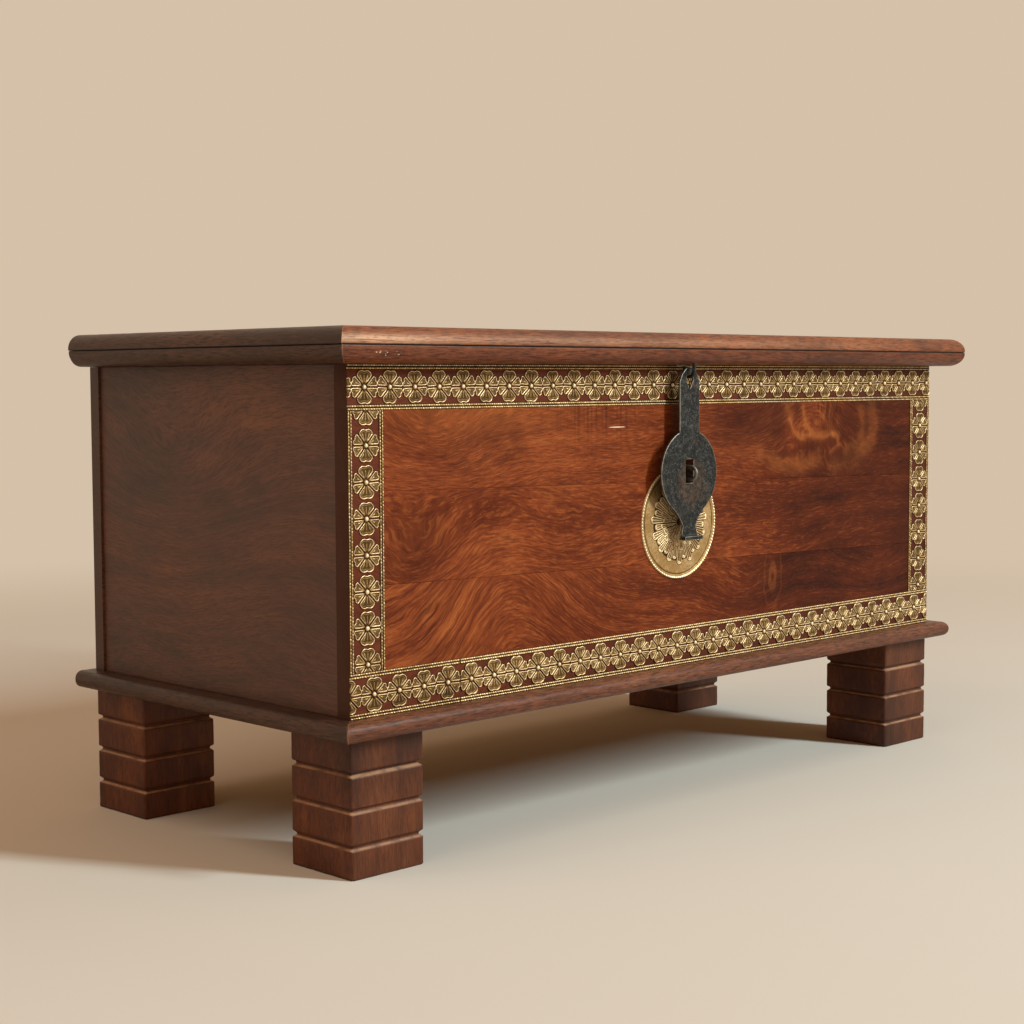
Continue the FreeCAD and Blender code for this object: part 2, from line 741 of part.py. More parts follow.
def main():
    # Holes that the two wire staples pass through
    staple_holes = [
        rod(f"staple_hole_{name}", HOLE_RADIUS, "front_thickness + 2 * staple_reach", "lock_offset",
            f"{FRONT} - staple_reach", f"{BOX_TOP} - staple_drop {sign} ring_radius", (1, 0, 0), -90)
        for name, sign in (("high", "+"), ("low", "-"))
    ]
    leg_holes = [
        rod(f"leg_hole_{name}", HOLE_RADIUS, "leg_depth + pivot_drop + wire_clearance", "lock_offset",
            f"{HASP_Y} {sign} ring_radius", PIVOT_Z)
        for name, sign in (("near", "-"), ("far", "+"))
    ]
    base()
    case(staple_holes)
    lid(leg_holes)
    level_band("brass_band_top", f"{BOX_TOP} - band_width")
    level_band("brass_band_bottom", BASE_TOP)
    upright_band("brass_band_left", f"-{HALF}")
    upright_band("brass_band_right", f"{HALF} - band_width")
    band_nails()
    medallion(staple_holes)
    hasp()
    hasp_staple(leg_holes)
    lock_staple()
    hinges()
    document.recompute()

    for thing in document.Objects:
        if {"Invalid", "Error"} & set(thing.State):
            raise RuntimeError(f"{thing.Name} failed: {thing.State}")
    for label, thing in subparts.items():
        if thing.Shape.isNull() or not thing.Shape.isValid():
            raise RuntimeError(f"{label} has no valid shape")
    os.makedirs("parts", exist_ok=True)
    for label, thing in subparts.items():
        thing.Shape.exportStep(f"parts/{label}.step")
    print(len(subparts), "sub-parts written")


main()
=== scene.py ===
"""An old hardwood chest with embossed brass bands, dressed and lit for the camera."""

import functools
import itertools
import math

import bpy
import numpy as np
from mathutils import Matrix, Vector


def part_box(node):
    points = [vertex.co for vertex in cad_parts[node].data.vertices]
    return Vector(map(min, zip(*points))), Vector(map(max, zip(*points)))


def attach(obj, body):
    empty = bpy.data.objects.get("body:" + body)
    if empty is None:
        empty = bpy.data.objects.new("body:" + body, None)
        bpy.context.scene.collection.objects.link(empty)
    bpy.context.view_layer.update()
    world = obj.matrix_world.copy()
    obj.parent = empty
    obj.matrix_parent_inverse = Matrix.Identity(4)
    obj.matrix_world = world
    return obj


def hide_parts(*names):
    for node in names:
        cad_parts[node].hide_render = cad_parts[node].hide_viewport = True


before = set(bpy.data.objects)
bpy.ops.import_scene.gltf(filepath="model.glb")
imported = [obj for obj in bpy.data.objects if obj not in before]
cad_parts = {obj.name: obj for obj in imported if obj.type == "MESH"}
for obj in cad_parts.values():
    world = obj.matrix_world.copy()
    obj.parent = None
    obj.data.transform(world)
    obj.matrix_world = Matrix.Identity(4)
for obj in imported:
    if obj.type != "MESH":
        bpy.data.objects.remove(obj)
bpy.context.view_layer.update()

MM = 0.001

# Places taken from the frame
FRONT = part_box("front_board_upper")[0][1]
LID_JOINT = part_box("lid_edge_front")[0][2]

# Camera, found from the corners of the chest in the photograph
CAMERA_PLACE = (-1.7688, -1.7114, 0.5316)
CAMERA_YAW = 44.66
CAMERA_PITCH = 4.14
CAMERA_ROLL = -0.22
CAMERA_LENS = 64.25
SENSOR_WIDTH = 36.0

# Soft lights that face the chest: their place, width, height, level and colour
LIGHTS = {
    "key_light": ((2.4145, -5.4232, 4.0094), 0.7, 2.8, 0.93, (0.88, 0.975, 0.96)),
    "fill_light": ((-2.1, -0.1, 2.8), 2.4, 2.4, 0.2, (1.0, 0.85, 0.72)),
    "top_light": ((1.3, -0.6, 2.9), 1.6, 1.6, 0.06, (1.0, 1.0, 1.0)),
}
WORLD_LEVEL = 0.39
CHEST_MIDDLE = Vector((0.0, 0.0, 0.3))
FLOOR_SPREAD = 14.0
FLOOR_FADE_START = 1.1
FLOOR_FADE_END = 3.4


def tint(red, green, blue):
    """A colour given by its screen values from 0 to 255, as the light values that a shader takes."""
    def linear(level):
        share = level / 255
        return share / 12.92 if share <= 0.04045 else ((share + 0.055) / 1.055) ** 2.4
    return linear(red), linear(green), linear(blue), 1.0


BACKDROP = tint(213, 193, 169)
FLOOR_NEAR = tint(218, 219, 213)
ROOM = tint(255, 189, 130)

# Timber colours from the deepest vein to the palest grain
FRONT_TIMBER = (tint(50, 14, 5), tint(92, 36, 14), tint(132, 62, 29), tint(174, 100, 50))
DEEP_VEIN = FRONT_TIMBER[0]
# Painted shade for the wood seen through the gaps of the brass bands
BAND_SHADE_TIMBER = tint(84, 42, 31)
DARK_TIMBER = (tint(42, 26, 22), tint(76, 49, 38), tint(102, 65, 49), tint(132, 84, 57))
# SHADE_TIMBER is a darker copy for the side sticks: painted shade of the chest's sides
SHADE_TIMBER = (tint(35, 21, 15), tint(60, 38, 28), tint(80, 52, 38), tint(106, 70, 49))
RED_TIMBER = (tint(52, 22, 10), tint(98, 48, 24), tint(136, 74, 39), tint(174, 106, 60))
FOOT_TIMBER = (tint(34, 15, 8), tint(70, 34, 17), tint(98, 51, 26), tint(136, 81, 45))
PLAIN_TIMBER = (tint(66, 36, 20), tint(110, 66, 40), tint(146, 94, 58), tint(176, 122, 80))
RIM_TIMBER = (tint(48, 19, 9), tint(86, 40, 21), tint(118, 61, 34), tint(154, 92, 54))
LEDGE_TIMBER = (tint(44, 22, 14), tint(80, 42, 26), tint(112, 64, 42), tint(150, 96, 64))
JOINT_DIRT = tint(20, 11, 8)
END_GRAIN = tint(66, 47, 39)
# Pale wood for worn edges and dust, also laid on the lid's front edge as a painted highlight
WORN_AND_HIGHLIGHT_TIMBER = tint(206, 160, 124)
GOLD_GRAIN_AND_SHEEN = tint(184, 108, 54)
BARE_SCRATCH = tint(232, 206, 178)


# Stage

def place_camera():
    """Stands the camera off the near left corner of the chest, level with the rim of the lid."""
    data = bpy.data.cameras.new("camera")
    data.lens = CAMERA_LENS
    data.sensor_width = SENSOR_WIDTH
    camera = bpy.data.objects.new("camera", data)
    stand = Matrix.Translation(CAMERA_PLACE)
    for angle, axis in ((-CAMERA_YAW, "Z"), (90.0 - CAMERA_PITCH, "X"), (CAMERA_ROLL, "Z")):
        stand = stand @ Matrix.Rotation(math.radians(angle), 4, axis)
    camera.matrix_world = stand
    bpy.context.scene.collection.objects.link(camera)
    bpy.context.scene.camera = camera


def soft_light(name, place, width, height, level, colour):
    """An oblong soft light; at level 1 a surface that faces it renders at its own colour."""
    reach = CHEST_MIDDLE - Vector(place)
    data = bpy.data.lights.new(name, "AREA")
    data.shape = "RECTANGLE"
    data.size = width
    data.size_y = height
    data.color = colour
    data.energy = level * math.pi ** 2 * reach.length_squared
    lamp = bpy.data.objects.new(name, data)
    lamp.location = place
    lamp.rotation_euler = reach.to_track_quat("-Z", "Y").to_euler()
    bpy.context.scene.collection.objects.link(lamp)


class Shading:
    """The node tree of a material or of the world, written with short calls."""

    def __init__(self, owner):
        owner.use_nodes = True
        self.owner = owner
        self.tree = owner.node_tree
        self.tree.nodes.clear()

    def add(self, kind, inputs=None, **settings):
        """A node with its settings, and with values or links for its inputs."""
        node = self.tree.nodes.new(f"ShaderNode{kind}")
        for key, setting in settings.items():
            setattr(node, key, setting)
        for key, given in (inputs or {}).items():
            self.feed(node.inputs[key], given)
        return node

    def feed(self, socket, given):
        if isinstance(given, bpy.types.NodeSocket):
            self.tree.links.new(given, socket)
        else:
            socket.default_value = given

    def math(self, operation, first, second=0.0, third=0.0):
        return self.add("Math", {0: first, 1: second, 2: third}, operation=operation).outputs[0]

    def vector(self, operation, first, second=(0.0, 0.0, 0.0), third=(0.0, 0.0, 0.0)):
        """Vector math; the result is a number where the operation measures something."""
        node = self.add("VectorMath", {0: first, 1: second, 2: third}, operation=operation)
        return node.outputs["Value" if operation in ("DOT_PRODUCT", "DISTANCE", "LENGTH") else "Vector"]

    def total(self, first, *others):
        for other in others:
            first = self.math("ADD", first, other)
        return first

    def scaled(self, value, factor, shift=0.0):
        return self.math("MULTIPLY_ADD", value, factor, shift)

    def stretch(self, vector, factors, shift=0.0):
        """A vector with each of its parts scaled, and then shifted."""
        return self.vector("MULTIPLY_ADD", vector, factors, (shift, shift * 0.7, shift * 1.3))

    def combine(self, x, y, z):
        return self.add("CombineXYZ", {0: x, 1: y, 2: z}).outputs[0]

    def place(self):
        """The point of the surface in the frame that the piece was made in."""
        return self.add("TexCoord").outputs["Object"]

    def noise(self, place, detail=2.0, roughness=0.5, kind="3D"):
        """Noise over the room, or of kind 1D along a number."""
        socket = "W" if kind == "1D" else "Vector"
        given = {socket: place, "Scale": 1.0, "Detail": detail, "Roughness": roughness}
        return self.add("TexNoise", given, noise_dimensions=kind).outputs[0]

    def grit(self, scale, detail, roughness=0.5):
        """Noise that is the same in every direction, scale times to the metre."""
        return self.noise(self.stretch(self.place(), (scale,) * 3), detail, roughness)

    def between(self, value, low, high, start=0.0, end=1.0):
        """value carried smoothly from the range low to high into start to end."""
        given = {"Value": value, "From Min": low, "From Max": high, "To Min": start, "To Max": end}
        return self.add("MapRange", given, interpolation_type="SMOOTHSTEP").outputs[0]

    def ramp(self, value, colours, places):
        """A colour from a run of colours; places says at which value each one lies."""
        node = self.add("ValToRGB", {0: value})
        elements = node.color_ramp.elements
        while len(elements) < len(colours):
            elements.new(1.0)
        for element, place, colour in zip(elements, places, colours):
            element.position = place
            element.color = colour
        return node.outputs[0]

    def times(self, first, second):
        return self.math("MULTIPLY", first, second)

    def blend(self, factor, first, second):
        return self.add("Mix", {0: factor, 6: first, 7: second}, data_type="RGBA").outputs[2]

    def over(self, colour, factor, share, shade):
        """A colour with a share of a shade laid over it where the factor is 1."""
        return self.blend(self.scaled(factor, share), colour, shade)

    def bump(self, height, distance, strength=1.0, normal=None):
        given = {"Height": height, "Distance": distance, "Strength": strength}
        if normal:
            given["Normal"] = normal
        return self.add("Bump", given).outputs[0]

    def edges(self, reach, start, end):
        """1 on edges and corners sharper than the reach of the bevel, 0 on open faces."""
        eased = self.add("Bevel", {"Radius": reach}, samples=6).outputs[0]
        plain = self.add("NewGeometry").outputs["Normal"]
        return self.between(self.vector("DOT_PRODUCT", eased, plain), start, end)

    def surface(self, **inputs):
        """The finished material, from the inputs of the main shader."""
        given = {key.replace("_", " "): value for key, value in inputs.items()}
        shader = self.add("BsdfPrincipled", given)
        return self.show(shader)

    def show(self, shader, kind="OutputMaterial"):
        """Shows a shader on what the tree belongs to."""
        self.add(kind, {"Surface": shader.outputs[0]}).is_active_output = True
        return self.owner


def new_material(name):
    return Shading(bpy.data.materials.new(name))


def paint_floor():
    """A pale floor that takes the shadow near the chest and runs out into the backdrop far from it."""
    art = new_material("floor")
    near = art.blend(art.scaled(art.grit(2.2, 4.0), 0.12), FLOOR_NEAR, BACKDROP)
    cloth = art.add("BsdfDiffuse", {"Color": near})
    glow = art.add("Emission", {"Color": BACKDROP, "Strength": 1.0})
    far = art.between(art.vector("LENGTH", art.place()), FLOOR_FADE_START, FLOOR_FADE_END)
    glowing = art.times(far, seen_directly(art))
    return art.show(art.add("MixShader", {0: glowing, 1: cloth.outputs[0], 2: glow.outputs[0]}))


def seen_directly(art):
    """1 for rays that show the backdrop to the camera, a reflection or glass."""
    path = art.add("LightPath")
    seen = art.math("MAXIMUM", path.outputs["Is Camera Ray"], path.outputs["Is Glossy Ray"])
    return art.math("MAXIMUM", seen, path.outputs["Is Transmission Ray"])


def set_stage():
    mesh = bpy.data.meshes.new("floor")
    corners = [(x * FLOOR_SPREAD, y * FLOOR_SPREAD, 0.0) for x, y in ((-1, -1), (1, -1), (1, 1), (-1, 1))]
    mesh.from_pydata(corners, [], [(0, 1, 2, 3)])
    mesh.materials.append(paint_floor())
    floor = bpy.data.objects.new("floor", mesh)
    bpy.context.scene.collection.objects.link(floor)
    art = Shading(bpy.data.worlds.new("world"))
    bpy.context.scene.world = art.owner
    room = art.add("Background", {"Color": ROOM, "Strength": WORLD_LEVEL})
    shown = art.add("Background", {"Color": BACKDROP, "Strength": 1.0})
    mixed = art.add("MixShader", {0: seen_directly(art), 1: room.outputs[0], 2: shown.outputs[0]})
    art.show(mixed, "OutputWorld")
    bpy.context.scene.view_settings.view_transform = "Standard"


# Materials

class Grain:
    """The grain of one board: its axes, its wandering rings and what is drawn by them."""

    def __init__(self, art, axes, seed, bends, wander):
        parts = art.add("SeparateXYZ", {0: art.place()}).outputs
        self.art = art
        self.along, self.across, self.depth = (parts[letter] for letter in axes)
        self.place = art.combine(self.along, self.across, self.depth)
        self.shift = seed * 3.71
        slow = self.cloud(1.4, 3.4)
        wavy = self.cloud(8.0, 19.0)
        curl = self.cloud(58.0, 48.0, detail=1.0)
        self.ring = art.total(self.across, art.scaled(slow, 0.12 * wander), art.scaled(wavy, 0.016 * wander),
                              art.scaled(curl, 0.003 * wander))
        for centre, spreads, push in bends:
            self.ring = art.total(self.ring, art.scaled(self.spot(centre, spreads), push))

    def cloud(self, along, across, detail=2.0, roughness=0.5, shift=0.0):
        """Noise over the board that does not follow the rings."""
        spots = self.art.stretch(self.place, (along, across, across), self.shift + shift)
        return self.art.noise(spots, detail, roughness)

    def strokes(self, along, across, detail=2.0):
        """Noise that is drawn out along the rings."""
        field = self.art.combine(self.along, self.ring, self.depth)
        return self.art.noise(self.art.stretch(field, (along, across, across * 0.4), self.shift), detail, 0.6)

    def veins(self, scale):
        """Noise that is the same all along each ring."""
        return self.art.noise(self.art.scaled(self.ring, scale, self.shift), roughness=0.58, kind="1D")

    def offset(self, centre, spreads):
        """The way from a centre along and across the board, in shares of two spreads."""
        centred = self.art.vector("SUBTRACT", self.place, (*centre, 0.0))
        return self.art.stretch(centred, (1 / spreads[0], 1 / spreads[1], 0.0))

    def spot(self, centre, spreads):
        """1 at a centre, fading to 0 around it."""
        share = self.offset(centre, spreads)
        return self.art.math("EXPONENT", self.art.scaled(self.art.vector("DOT_PRODUCT", share, share), -1.0))

    def ribbon(self, places, width):
        """1 on a line through some places along and across the board, fading to 0 over its width."""
        art = self.art
        gaps = []
        for start, end in itertools.pairwise(places):
            step = Vector((*end, 0.0)) - Vector((*start, 0.0))
            way = art.stretch(art.vector("SUBTRACT", self.place, (*start, 0.0)), (1.0, 1.0, 0.0))
            share = art.vector("DOT_PRODUCT", way, tuple(step / step.length_squared))
            share = art.add("Clamp", {0: share}).outputs[0]
            foot = art.vector("MULTIPLY", tuple(step), art.combine(share, share, share))
            gaps.append(art.vector("DISTANCE", way, foot))
        nearest = functools.reduce(functools.partial(art.math, "MINIMUM"), gaps)
        wobble = art.scaled(self.cloud(40.0, 50.0, 3.0, shift=6.0), width * 3.6, -width * 1.8)
        share = art.scaled(art.math("MAXIMUM", art.total(nearest, wobble), 0.0), 1 / width)
        return art.math("EXPONENT", art.scaled(art.times(share, share), -1.0))

    def whorl(self, centre, spreads, scale):
        """Rings around a knot, and how far a point lies from its centre in shares of the spreads."""
        far = self.art.vector("LENGTH", self.offset(centre, spreads))
        wander = self.art.total(self.cloud(11.0, 14.0, 3.0), self.cloud(30.0, 38.0, 2.0, shift=4.0), -1.0)
        far = self.art.total(far, self.art.scaled(wander, 1.5))
        return self.art.noise(self.art.scaled(far, scale, self.shift), kind="1D"), far


# The swirl on the upper board: dark spots, and golden ribbons with their width and strength
SWIRL_SHADES = (((0.135, 0.470), (0.060, 0.034)), ((0.186, 0.466), (0.022, 0.030)),
                ((0.345, 0.425), (0.020, 0.008)), ((0.262, 0.438), (0.024, 0.009)),
                ((0.232, 0.492), (0.010, 0.018)))
SWIRL_SHARE = 0.72
SWIRL_RIBBONS = (
    (((0.201, 0.516), (0.206, 0.498), (0.214, 0.478)), 0.0085, 0.42),
    (((0.214, 0.478), (0.222, 0.462), (0.238, 0.451), (0.257, 0.455)), 0.0034, 0.55),
    (((0.243, 0.492), (0.249, 0.472), (0.265, 0.457), (0.292, 0.452), (0.312, 0.456)), 0.0046, 0.55),
    (((0.312, 0.456), (0.323, 0.451), (0.324, 0.441), (0.306, 0.431)), 0.004, 0.48),
    (((0.402, 0.500), (0.412, 0.474), (0.402, 0.442), (0.366, 0.419), (0.318, 0.410)), 0.011, 0.26),
    (((0.376, 0.488), (0.384, 0.464), (0.372, 0.442), (0.345, 0.434)), 0.007, 0.24),
    (((0.150, 0.432), (0.192, 0.420), (0.238, 0.413), (0.276, 0.421)), 0.010, 0.36),
)


def upper_figure(grain, colour):
    """Dark clouds at the left, short bars near the top, a golden swirl at the right, a white scratch and a
    painted sheen of light at the upper left.
    """
    art = grain.art
    ragged = art.between(grain.strokes(30.0, 90.0, 3.0), 0.35, 0.62)
    for centre, spreads in (((-0.455, 0.484), (0.022, 0.016)), ((-0.375, 0.447), (0.05, 0.018)),
                            ((0.10, 0.470), (0.035, 0.022))):
        cloud = art.times(grain.spot(centre, spreads), ragged)
        colour = art.over(colour, cloud, 0.6, DEEP_VEIN)
    bars = art.between(art.noise(art.scaled(grain.along, 190.0), kind="1D"), 0.45, 0.68)
    bars = art.times(bars, grain.spot((-0.165, 0.510), (0.075, 0.042)))
    colour = art.over(colour, bars, 0.6, DEEP_VEIN)
    for centre, spreads in SWIRL_SHADES:
        colour = art.over(colour, grain.spot(centre, spreads), 0.5, DEEP_VEIN)
    rays = art.between(grain.cloud(230.0, 26.0, 3.0, shift=8.0), 0.42, 0.62)
    rays = art.times(rays, grain.spot((0.296, 0.490), (0.026, 0.026)))
    colour = art.over(colour, rays, 0.3, GOLD_GRAIN_AND_SHEEN)
    for places, width, share in SWIRL_RIBBONS:
        colour = art.over(colour, grain.ribbon(places, width), SWIRL_SHARE * share, GOLD_GRAIN_AND_SHEEN)
    # Painted highlight: a broad pale golden spot at the upper left stands in for the lamp's sheen
    colour = art.over(colour, grain.spot((-0.36, 0.500), (0.12, 0.03)), 0.3, GOLD_GRAIN_AND_SHEEN)
    scratch = grain.spot((-0.13, 0.4742), (0.016, 0.0008))
    return art.over(colour, art.between(scratch, 0.3, 0.6), 0.95, BARE_SCRATCH)


def middle_figure(grain, colour):
    """The right end of the board is dark, and a smoky cloud lies at its left."""
    for centre, spreads, share in (((0.52, 0.35), (0.13, 0.12), 0.6), ((-0.46, 0.355), (0.05, 0.045), 0.4)):
        colour = grain.art.over(colour, grain.spot(centre, spreads), share, DEEP_VEIN)
    return colour


def shade_under_bands(grain, colour):
    """Painted shade: the wood under the brass bands, seen through the gaps of the relief, is darkened."""
    art = grain.art
    left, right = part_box("brass_band_left")[1][0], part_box("brass_band_right")[0][0]
    low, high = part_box("brass_band_bottom")[1][2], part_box("brass_band_top")[0][2]
    aside = art.math("ABSOLUTE", art.scaled(grain.along, 1.0, -(left + right) / 2))
    above = art.math("ABSOLUTE", art.scaled(grain.across, 1.0, -(low + high) / 2))
    beyond = art.math("MAXIMUM", art.scaled(aside, 1.0, (left - right) / 2),
                      art.scaled(above, 1.0, (low - high) / 2))
    return art.over(colour, art.between(beyond, -1.5 * MM, 1.5 * MM), 0.72, BAND_SHADE_TIMBER)


def lower_figure(grain, colour):
    """A fan of golden and dark rays at the left, a tall golden eye and fine cracks at the right."""
    art = grain.art
    fan = grain.spot((-0.44, 0.275), (0.10, 0.06))
    rays = grain.strokes(7.0, 190.0, 3.0)
    colour = art.over(colour, art.times(fan, art.between(rays, 0.5, 0.64)), 0.3, GOLD_GRAIN_AND_SHEEN)
    colour = art.over(colour, art.times(fan, art.between(rays, 0.46, 0.36)), 0.55, DEEP_VEIN)
    rings, far = grain.whorl((0.178, 0.268), (0.013, 0.026), 1.6)
    eye = art.times(art.between(rings, 0.45, 0.6), art.between(far, 2.0, 1.0))
    colour = art.over(colour, eye, 0.16, GOLD_GRAIN_AND_SHEEN)
    cracks = art.between(grain.strokes(45.0, 420.0), 0.56, 0.66)
    cracks = art.times(cracks, grain.spot((0.45, 0.294), (0.05, 0.008)))
    return art.over(colour, cracks, 1.0, DEEP_VEIN)


def wood(name, axes, timber, seed, bends=(), figures=(), fade=None, worn=0.0, dusty=0.0, polish=0.45,
         sheen=0.3, fine=1.0, bright=0.2, cloudy=1.15, wander=1.0, shade_and_grime_in_hollows=0.0):
    """Oiled timber. axes names the axes along the grain, across it and into the board.

    bends push the rings aside, figures draw on the colour, and fade darkens the board along its length as
    painted shade, where the lamp's light falls off.
    fine, bright and cloudy are the strength of the dark lines, the pale lines and the broad clouds.
    """
    art = new_material(name)
    grain = Grain(art, axes, seed, bends, wander)
    broad = grain.veins(34.0)
    veins = grain.strokes(7.0, 170.0, 3.0)
    ripple = grain.strokes(90.0, 290.0)
    lines = grain.strokes(60.0, 640.0)
    pores = grain.strokes(120.0, 880.0, 1.0)
    patches = grain.cloud(4.2, 9.0, 3.0, 0.6, shift=5.0)
    parts = ((broad, 0.3), (veins, 0.3), (ripple, 0.34 * fine), (patches, cloudy))
    level = art.total(*(art.scaled(part, weight, -weight / 2) for part, weight in parts), 0.5)
    # Painted shade: the board is lighter at one end and darker towards the other, for the lamp's light
    # falling off
    if fade:
        level = art.total(level, art.between(grain.along, *fade))
    colour = art.ramp(level, timber, (0.08, 0.36, 0.62, 0.92))
    bold = art.between(level, 0.12, 0.6, 0.16, 1.0)
    pale = art.times(bold, art.between(lines, 0.47, 0.34))
    dark = art.times(bold, art.between(lines, 0.5, 0.65))
    colour = art.over(colour, pale, bright * fine, timber[3])
    colour = art.over(colour, dark, 0.58 * fine, timber[0])
    for draw in figures:
        colour = draw(grain, colour)
    pits = art.between(pores, 0.56, 0.7)
    grime = art.between(grain.cloud(7.0, 12.0, 4.0, 0.6, shift=2.0), 0.53, 0.72)
    for dirt, share in ((pits, 0.36 * fine), (grime, 0.42)):
        colour = art.over(colour, dirt, share, timber[0])
    normal = art.add("SeparateXYZ", {0: art.add("NewGeometry").outputs["Normal"]}).outputs
    endways = art.between(art.math("ABSOLUTE", normal[axes[0]]), 0.6, 0.9)
    colour = art.over(colour, endways, 0.8, END_GRAIN)
    roughness = art.total(art.scaled(lines, 0.16), art.scaled(patches, 0.2), polish - 0.18)
    if worn:
        rubbed = grain.cloud(26.0, 60.0, 4.0, 0.7)
        edge = art.edges(2.2 * MM, 0.985, 0.86)
        rub = art.times(edge, art.between(rubbed, 0.42, 0.62, 0.12, 1.0))
        colour = art.over(colour, rub, worn, WORN_AND_HIGHLIGHT_TIMBER)
        roughness = art.total(roughness, art.scaled(rub, 0.12))
    # Painted shade and grime: the hollows that ambient occlusion finds are darkened
    if shade_and_grime_in_hollows:
        hollow = art.add("AmbientOcclusion", {"Distance": 5 * MM}, samples=6).outputs["AO"]
        colour = art.over(colour, art.between(hollow, 0.75, 0.35), shade_and_grime_in_hollows, timber[0])
    if dusty:
        dust = art.between(grain.cloud(60.0, 60.0, 3.0, shift=7.0), 0.3, 0.6, 0.4, 1.0)
        dust = art.times(dust, art.between(normal["Z"], 0.45, 0.9))
        colour = art.over(colour, dust, dusty, WORN_AND_HIGHLIGHT_TIMBER)
    relief = art.total(art.scaled(lines, -0.6), art.scaled(pits, -0.7), art.scaled(veins, 0.25))
    bumpy = art.bump(relief, 0.3 * MM, 0.5)
    bumpy = art.bump(patches, 1.6 * MM, 0.35, bumpy)
    return art.surface(Base_Color=colour, Roughness=roughness, Specular_IOR_Level=sheen, Normal=bumpy)


# Brass from the tarnished hollows to the rubbed crests
BRASS_TONES = (tint(34, 23, 12), tint(92, 67, 36), tint(170, 136, 86), tint(244, 224, 184))
# Forge scale from its pits to its crests, and rust from dark to light
SCALE_TONES = (tint(9, 10, 11), tint(31, 34, 35), tint(90, 94, 94))
RUST_TONES = (tint(50, 33, 24), tint(122, 90, 66))
# Pale iron for rubbed edges, also a painted highlight on them
BARE_IRON_AND_GLINT = tint(176, 172, 160)
# The rusty spot below the hasp's slot
RUST_PLACE = (-0.012, -0.252, 0.402)
RUST_REACH = 28 * MM


def brass(name, metallic):
    """Thin embossed brass: rubbed bright on what stands proud and tarnished in the hollows."""
    art = new_material(name)
    proud = art.add("Attribute", attribute_name="proud").outputs["Fac"]
    fleck = art.grit(420.0, 3.0, 0.65)
    level = art.total(proud, art.scaled(fleck, 0.4), art.scaled(art.grit(38.0, 3.0), 0.35), -0.375)
    colour = art.ramp(level, BRASS_TONES, (0.0, 0.3, 0.62, 0.95))
    roughness = art.total(art.between(level, 0.1, 0.9, 0.6, 0.4), art.scaled(fleck, 0.12))
    normal = art.bump(fleck, 0.25 * MM, 0.5)
    return art.surface(Base_Color=colour, Metallic=metallic, Roughness=roughness, Normal=normal)


def iron(name, rust, bright, stained=False, dense=False):
    """Forged iron, blackened by fire: dark scale with brown rust patches, and rubbed edges that are also
    brightened as a painted highlight.

    stained adds the rusty spot below the hasp's slot, and dense says that the mesh is a fine one.
    """
    art = new_material(name)
    cloud = art.grit(30.0, 5.0, 0.65)
    speck = art.grit(700.0, 2.0)
    mottle = art.grit(160.0, 4.0, 0.7)
    scale = art.ramp(art.total(mottle, art.scaled(speck, 1.1), -0.55), SCALE_TONES, (0.25, 0.52, 0.85))
    rusting = art.between(cloud, 0.52, 0.7)
    if stained:
        ragged = art.total(art.vector("DISTANCE", art.place(), RUST_PLACE), art.scaled(cloud, RUST_REACH))
        rusting = art.math("MAXIMUM", rusting, art.between(ragged, RUST_REACH * 1.7, RUST_REACH * 1.1))
    stain = art.times(rusting, art.between(mottle, 0.3, 0.6, 0.25, 1.0))
    colour = art.over(scale, stain, rust, art.blend(mottle, *RUST_TONES))
    if dense:
        sharp = art.between(art.add("NewGeometry").outputs["Pointiness"], 0.51, 0.55)
    else:
        sharp = art.edges(1.2 * MM, 0.985, 0.8)
    # Rubbed edges and painted highlight: the sharp edges are laid over with pale iron
    edge = art.times(sharp, art.between(mottle, 0.3, 0.5, 0.3, 1.0))
    colour = art.over(colour, edge, bright, BARE_IRON_AND_GLINT)
    roughness = art.total(art.scaled(stain, 0.25), art.scaled(mottle, 0.25), 0.34)
    normal = art.bump(art.total(mottle, art.scaled(speck, 0.4)), 0.5 * MM, 0.5)
    return art.surface(Base_Color=colour, Metallic=0.55, Roughness=roughness, Normal=normal)


def dress(piece, material):
    """Puts one material in every slot of a piece."""
    if not piece.material_slots:
        piece.data.materials.append(material)
    for slot in piece.material_slots:
        slot.material = material


# Mesh making

class Lattice:
    """Smooth random numbers from -1 to 1 over space, worked out for many points at once."""

    SIZE = 32

    def __init__(self, seed):
        self.values = np.random.default_rng(seed).uniform(-1.0, 1.0, (self.SIZE,) * 3)

    def __call__(self, points, cell):
        scaled = points / cell
        base = np.floor(scaled).astype(int)
        part = scaled - base
        part = part * part * (3.0 - 2.0 * part)
        found = np.zeros(points.shape[:-1])
        for corner in itertools.product((0, 1), repeat=3):
            weight = np.prod(np.where(corner, part, 1.0 - part), axis=-1)
            index = (base + corner) % self.SIZE
            found += weight * self.values[index[..., 0], index[..., 1], index[..., 2]]
        return found


def new_piece(name, points, faces, body, material, proud=None, sharp=40.0):
    """A smooth shaded mesh that rides on a body and stands for the CAD node of its name."""
    mesh = bpy.data.meshes.new(name)
    mesh.from_pydata(points.tolist(), [], faces)
    mesh.shade_smooth()
    mesh.set_sharp_from_angle(angle=math.radians(sharp))
    if proud is not None:
        mesh.attributes.new("proud", "FLOAT", "POINT").data.foreach_set("value", proud)
    mesh.materials.append(material)
    piece = bpy.data.objects.new(f"dressed_{name}", mesh)
    bpy.context.scene.collection.objects.link(piece)
    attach(piece, body)
    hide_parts(name)


def tube_faces(rings, around, first=0):
    """The faces of a tube of rings, from the number of its first point, with a cap on the far end."""
    faces = []
    for ring, spot in itertools.product(range(rings - 1), range(around)):
        following = (spot + 1) % around
        low = first + ring * around
        high = low + around
        faces.append((low + spot, low + following, high + following, high + spot))
    last = first + (rings - 1) * around
    return [*faces, tuple(range(last, last + around))]


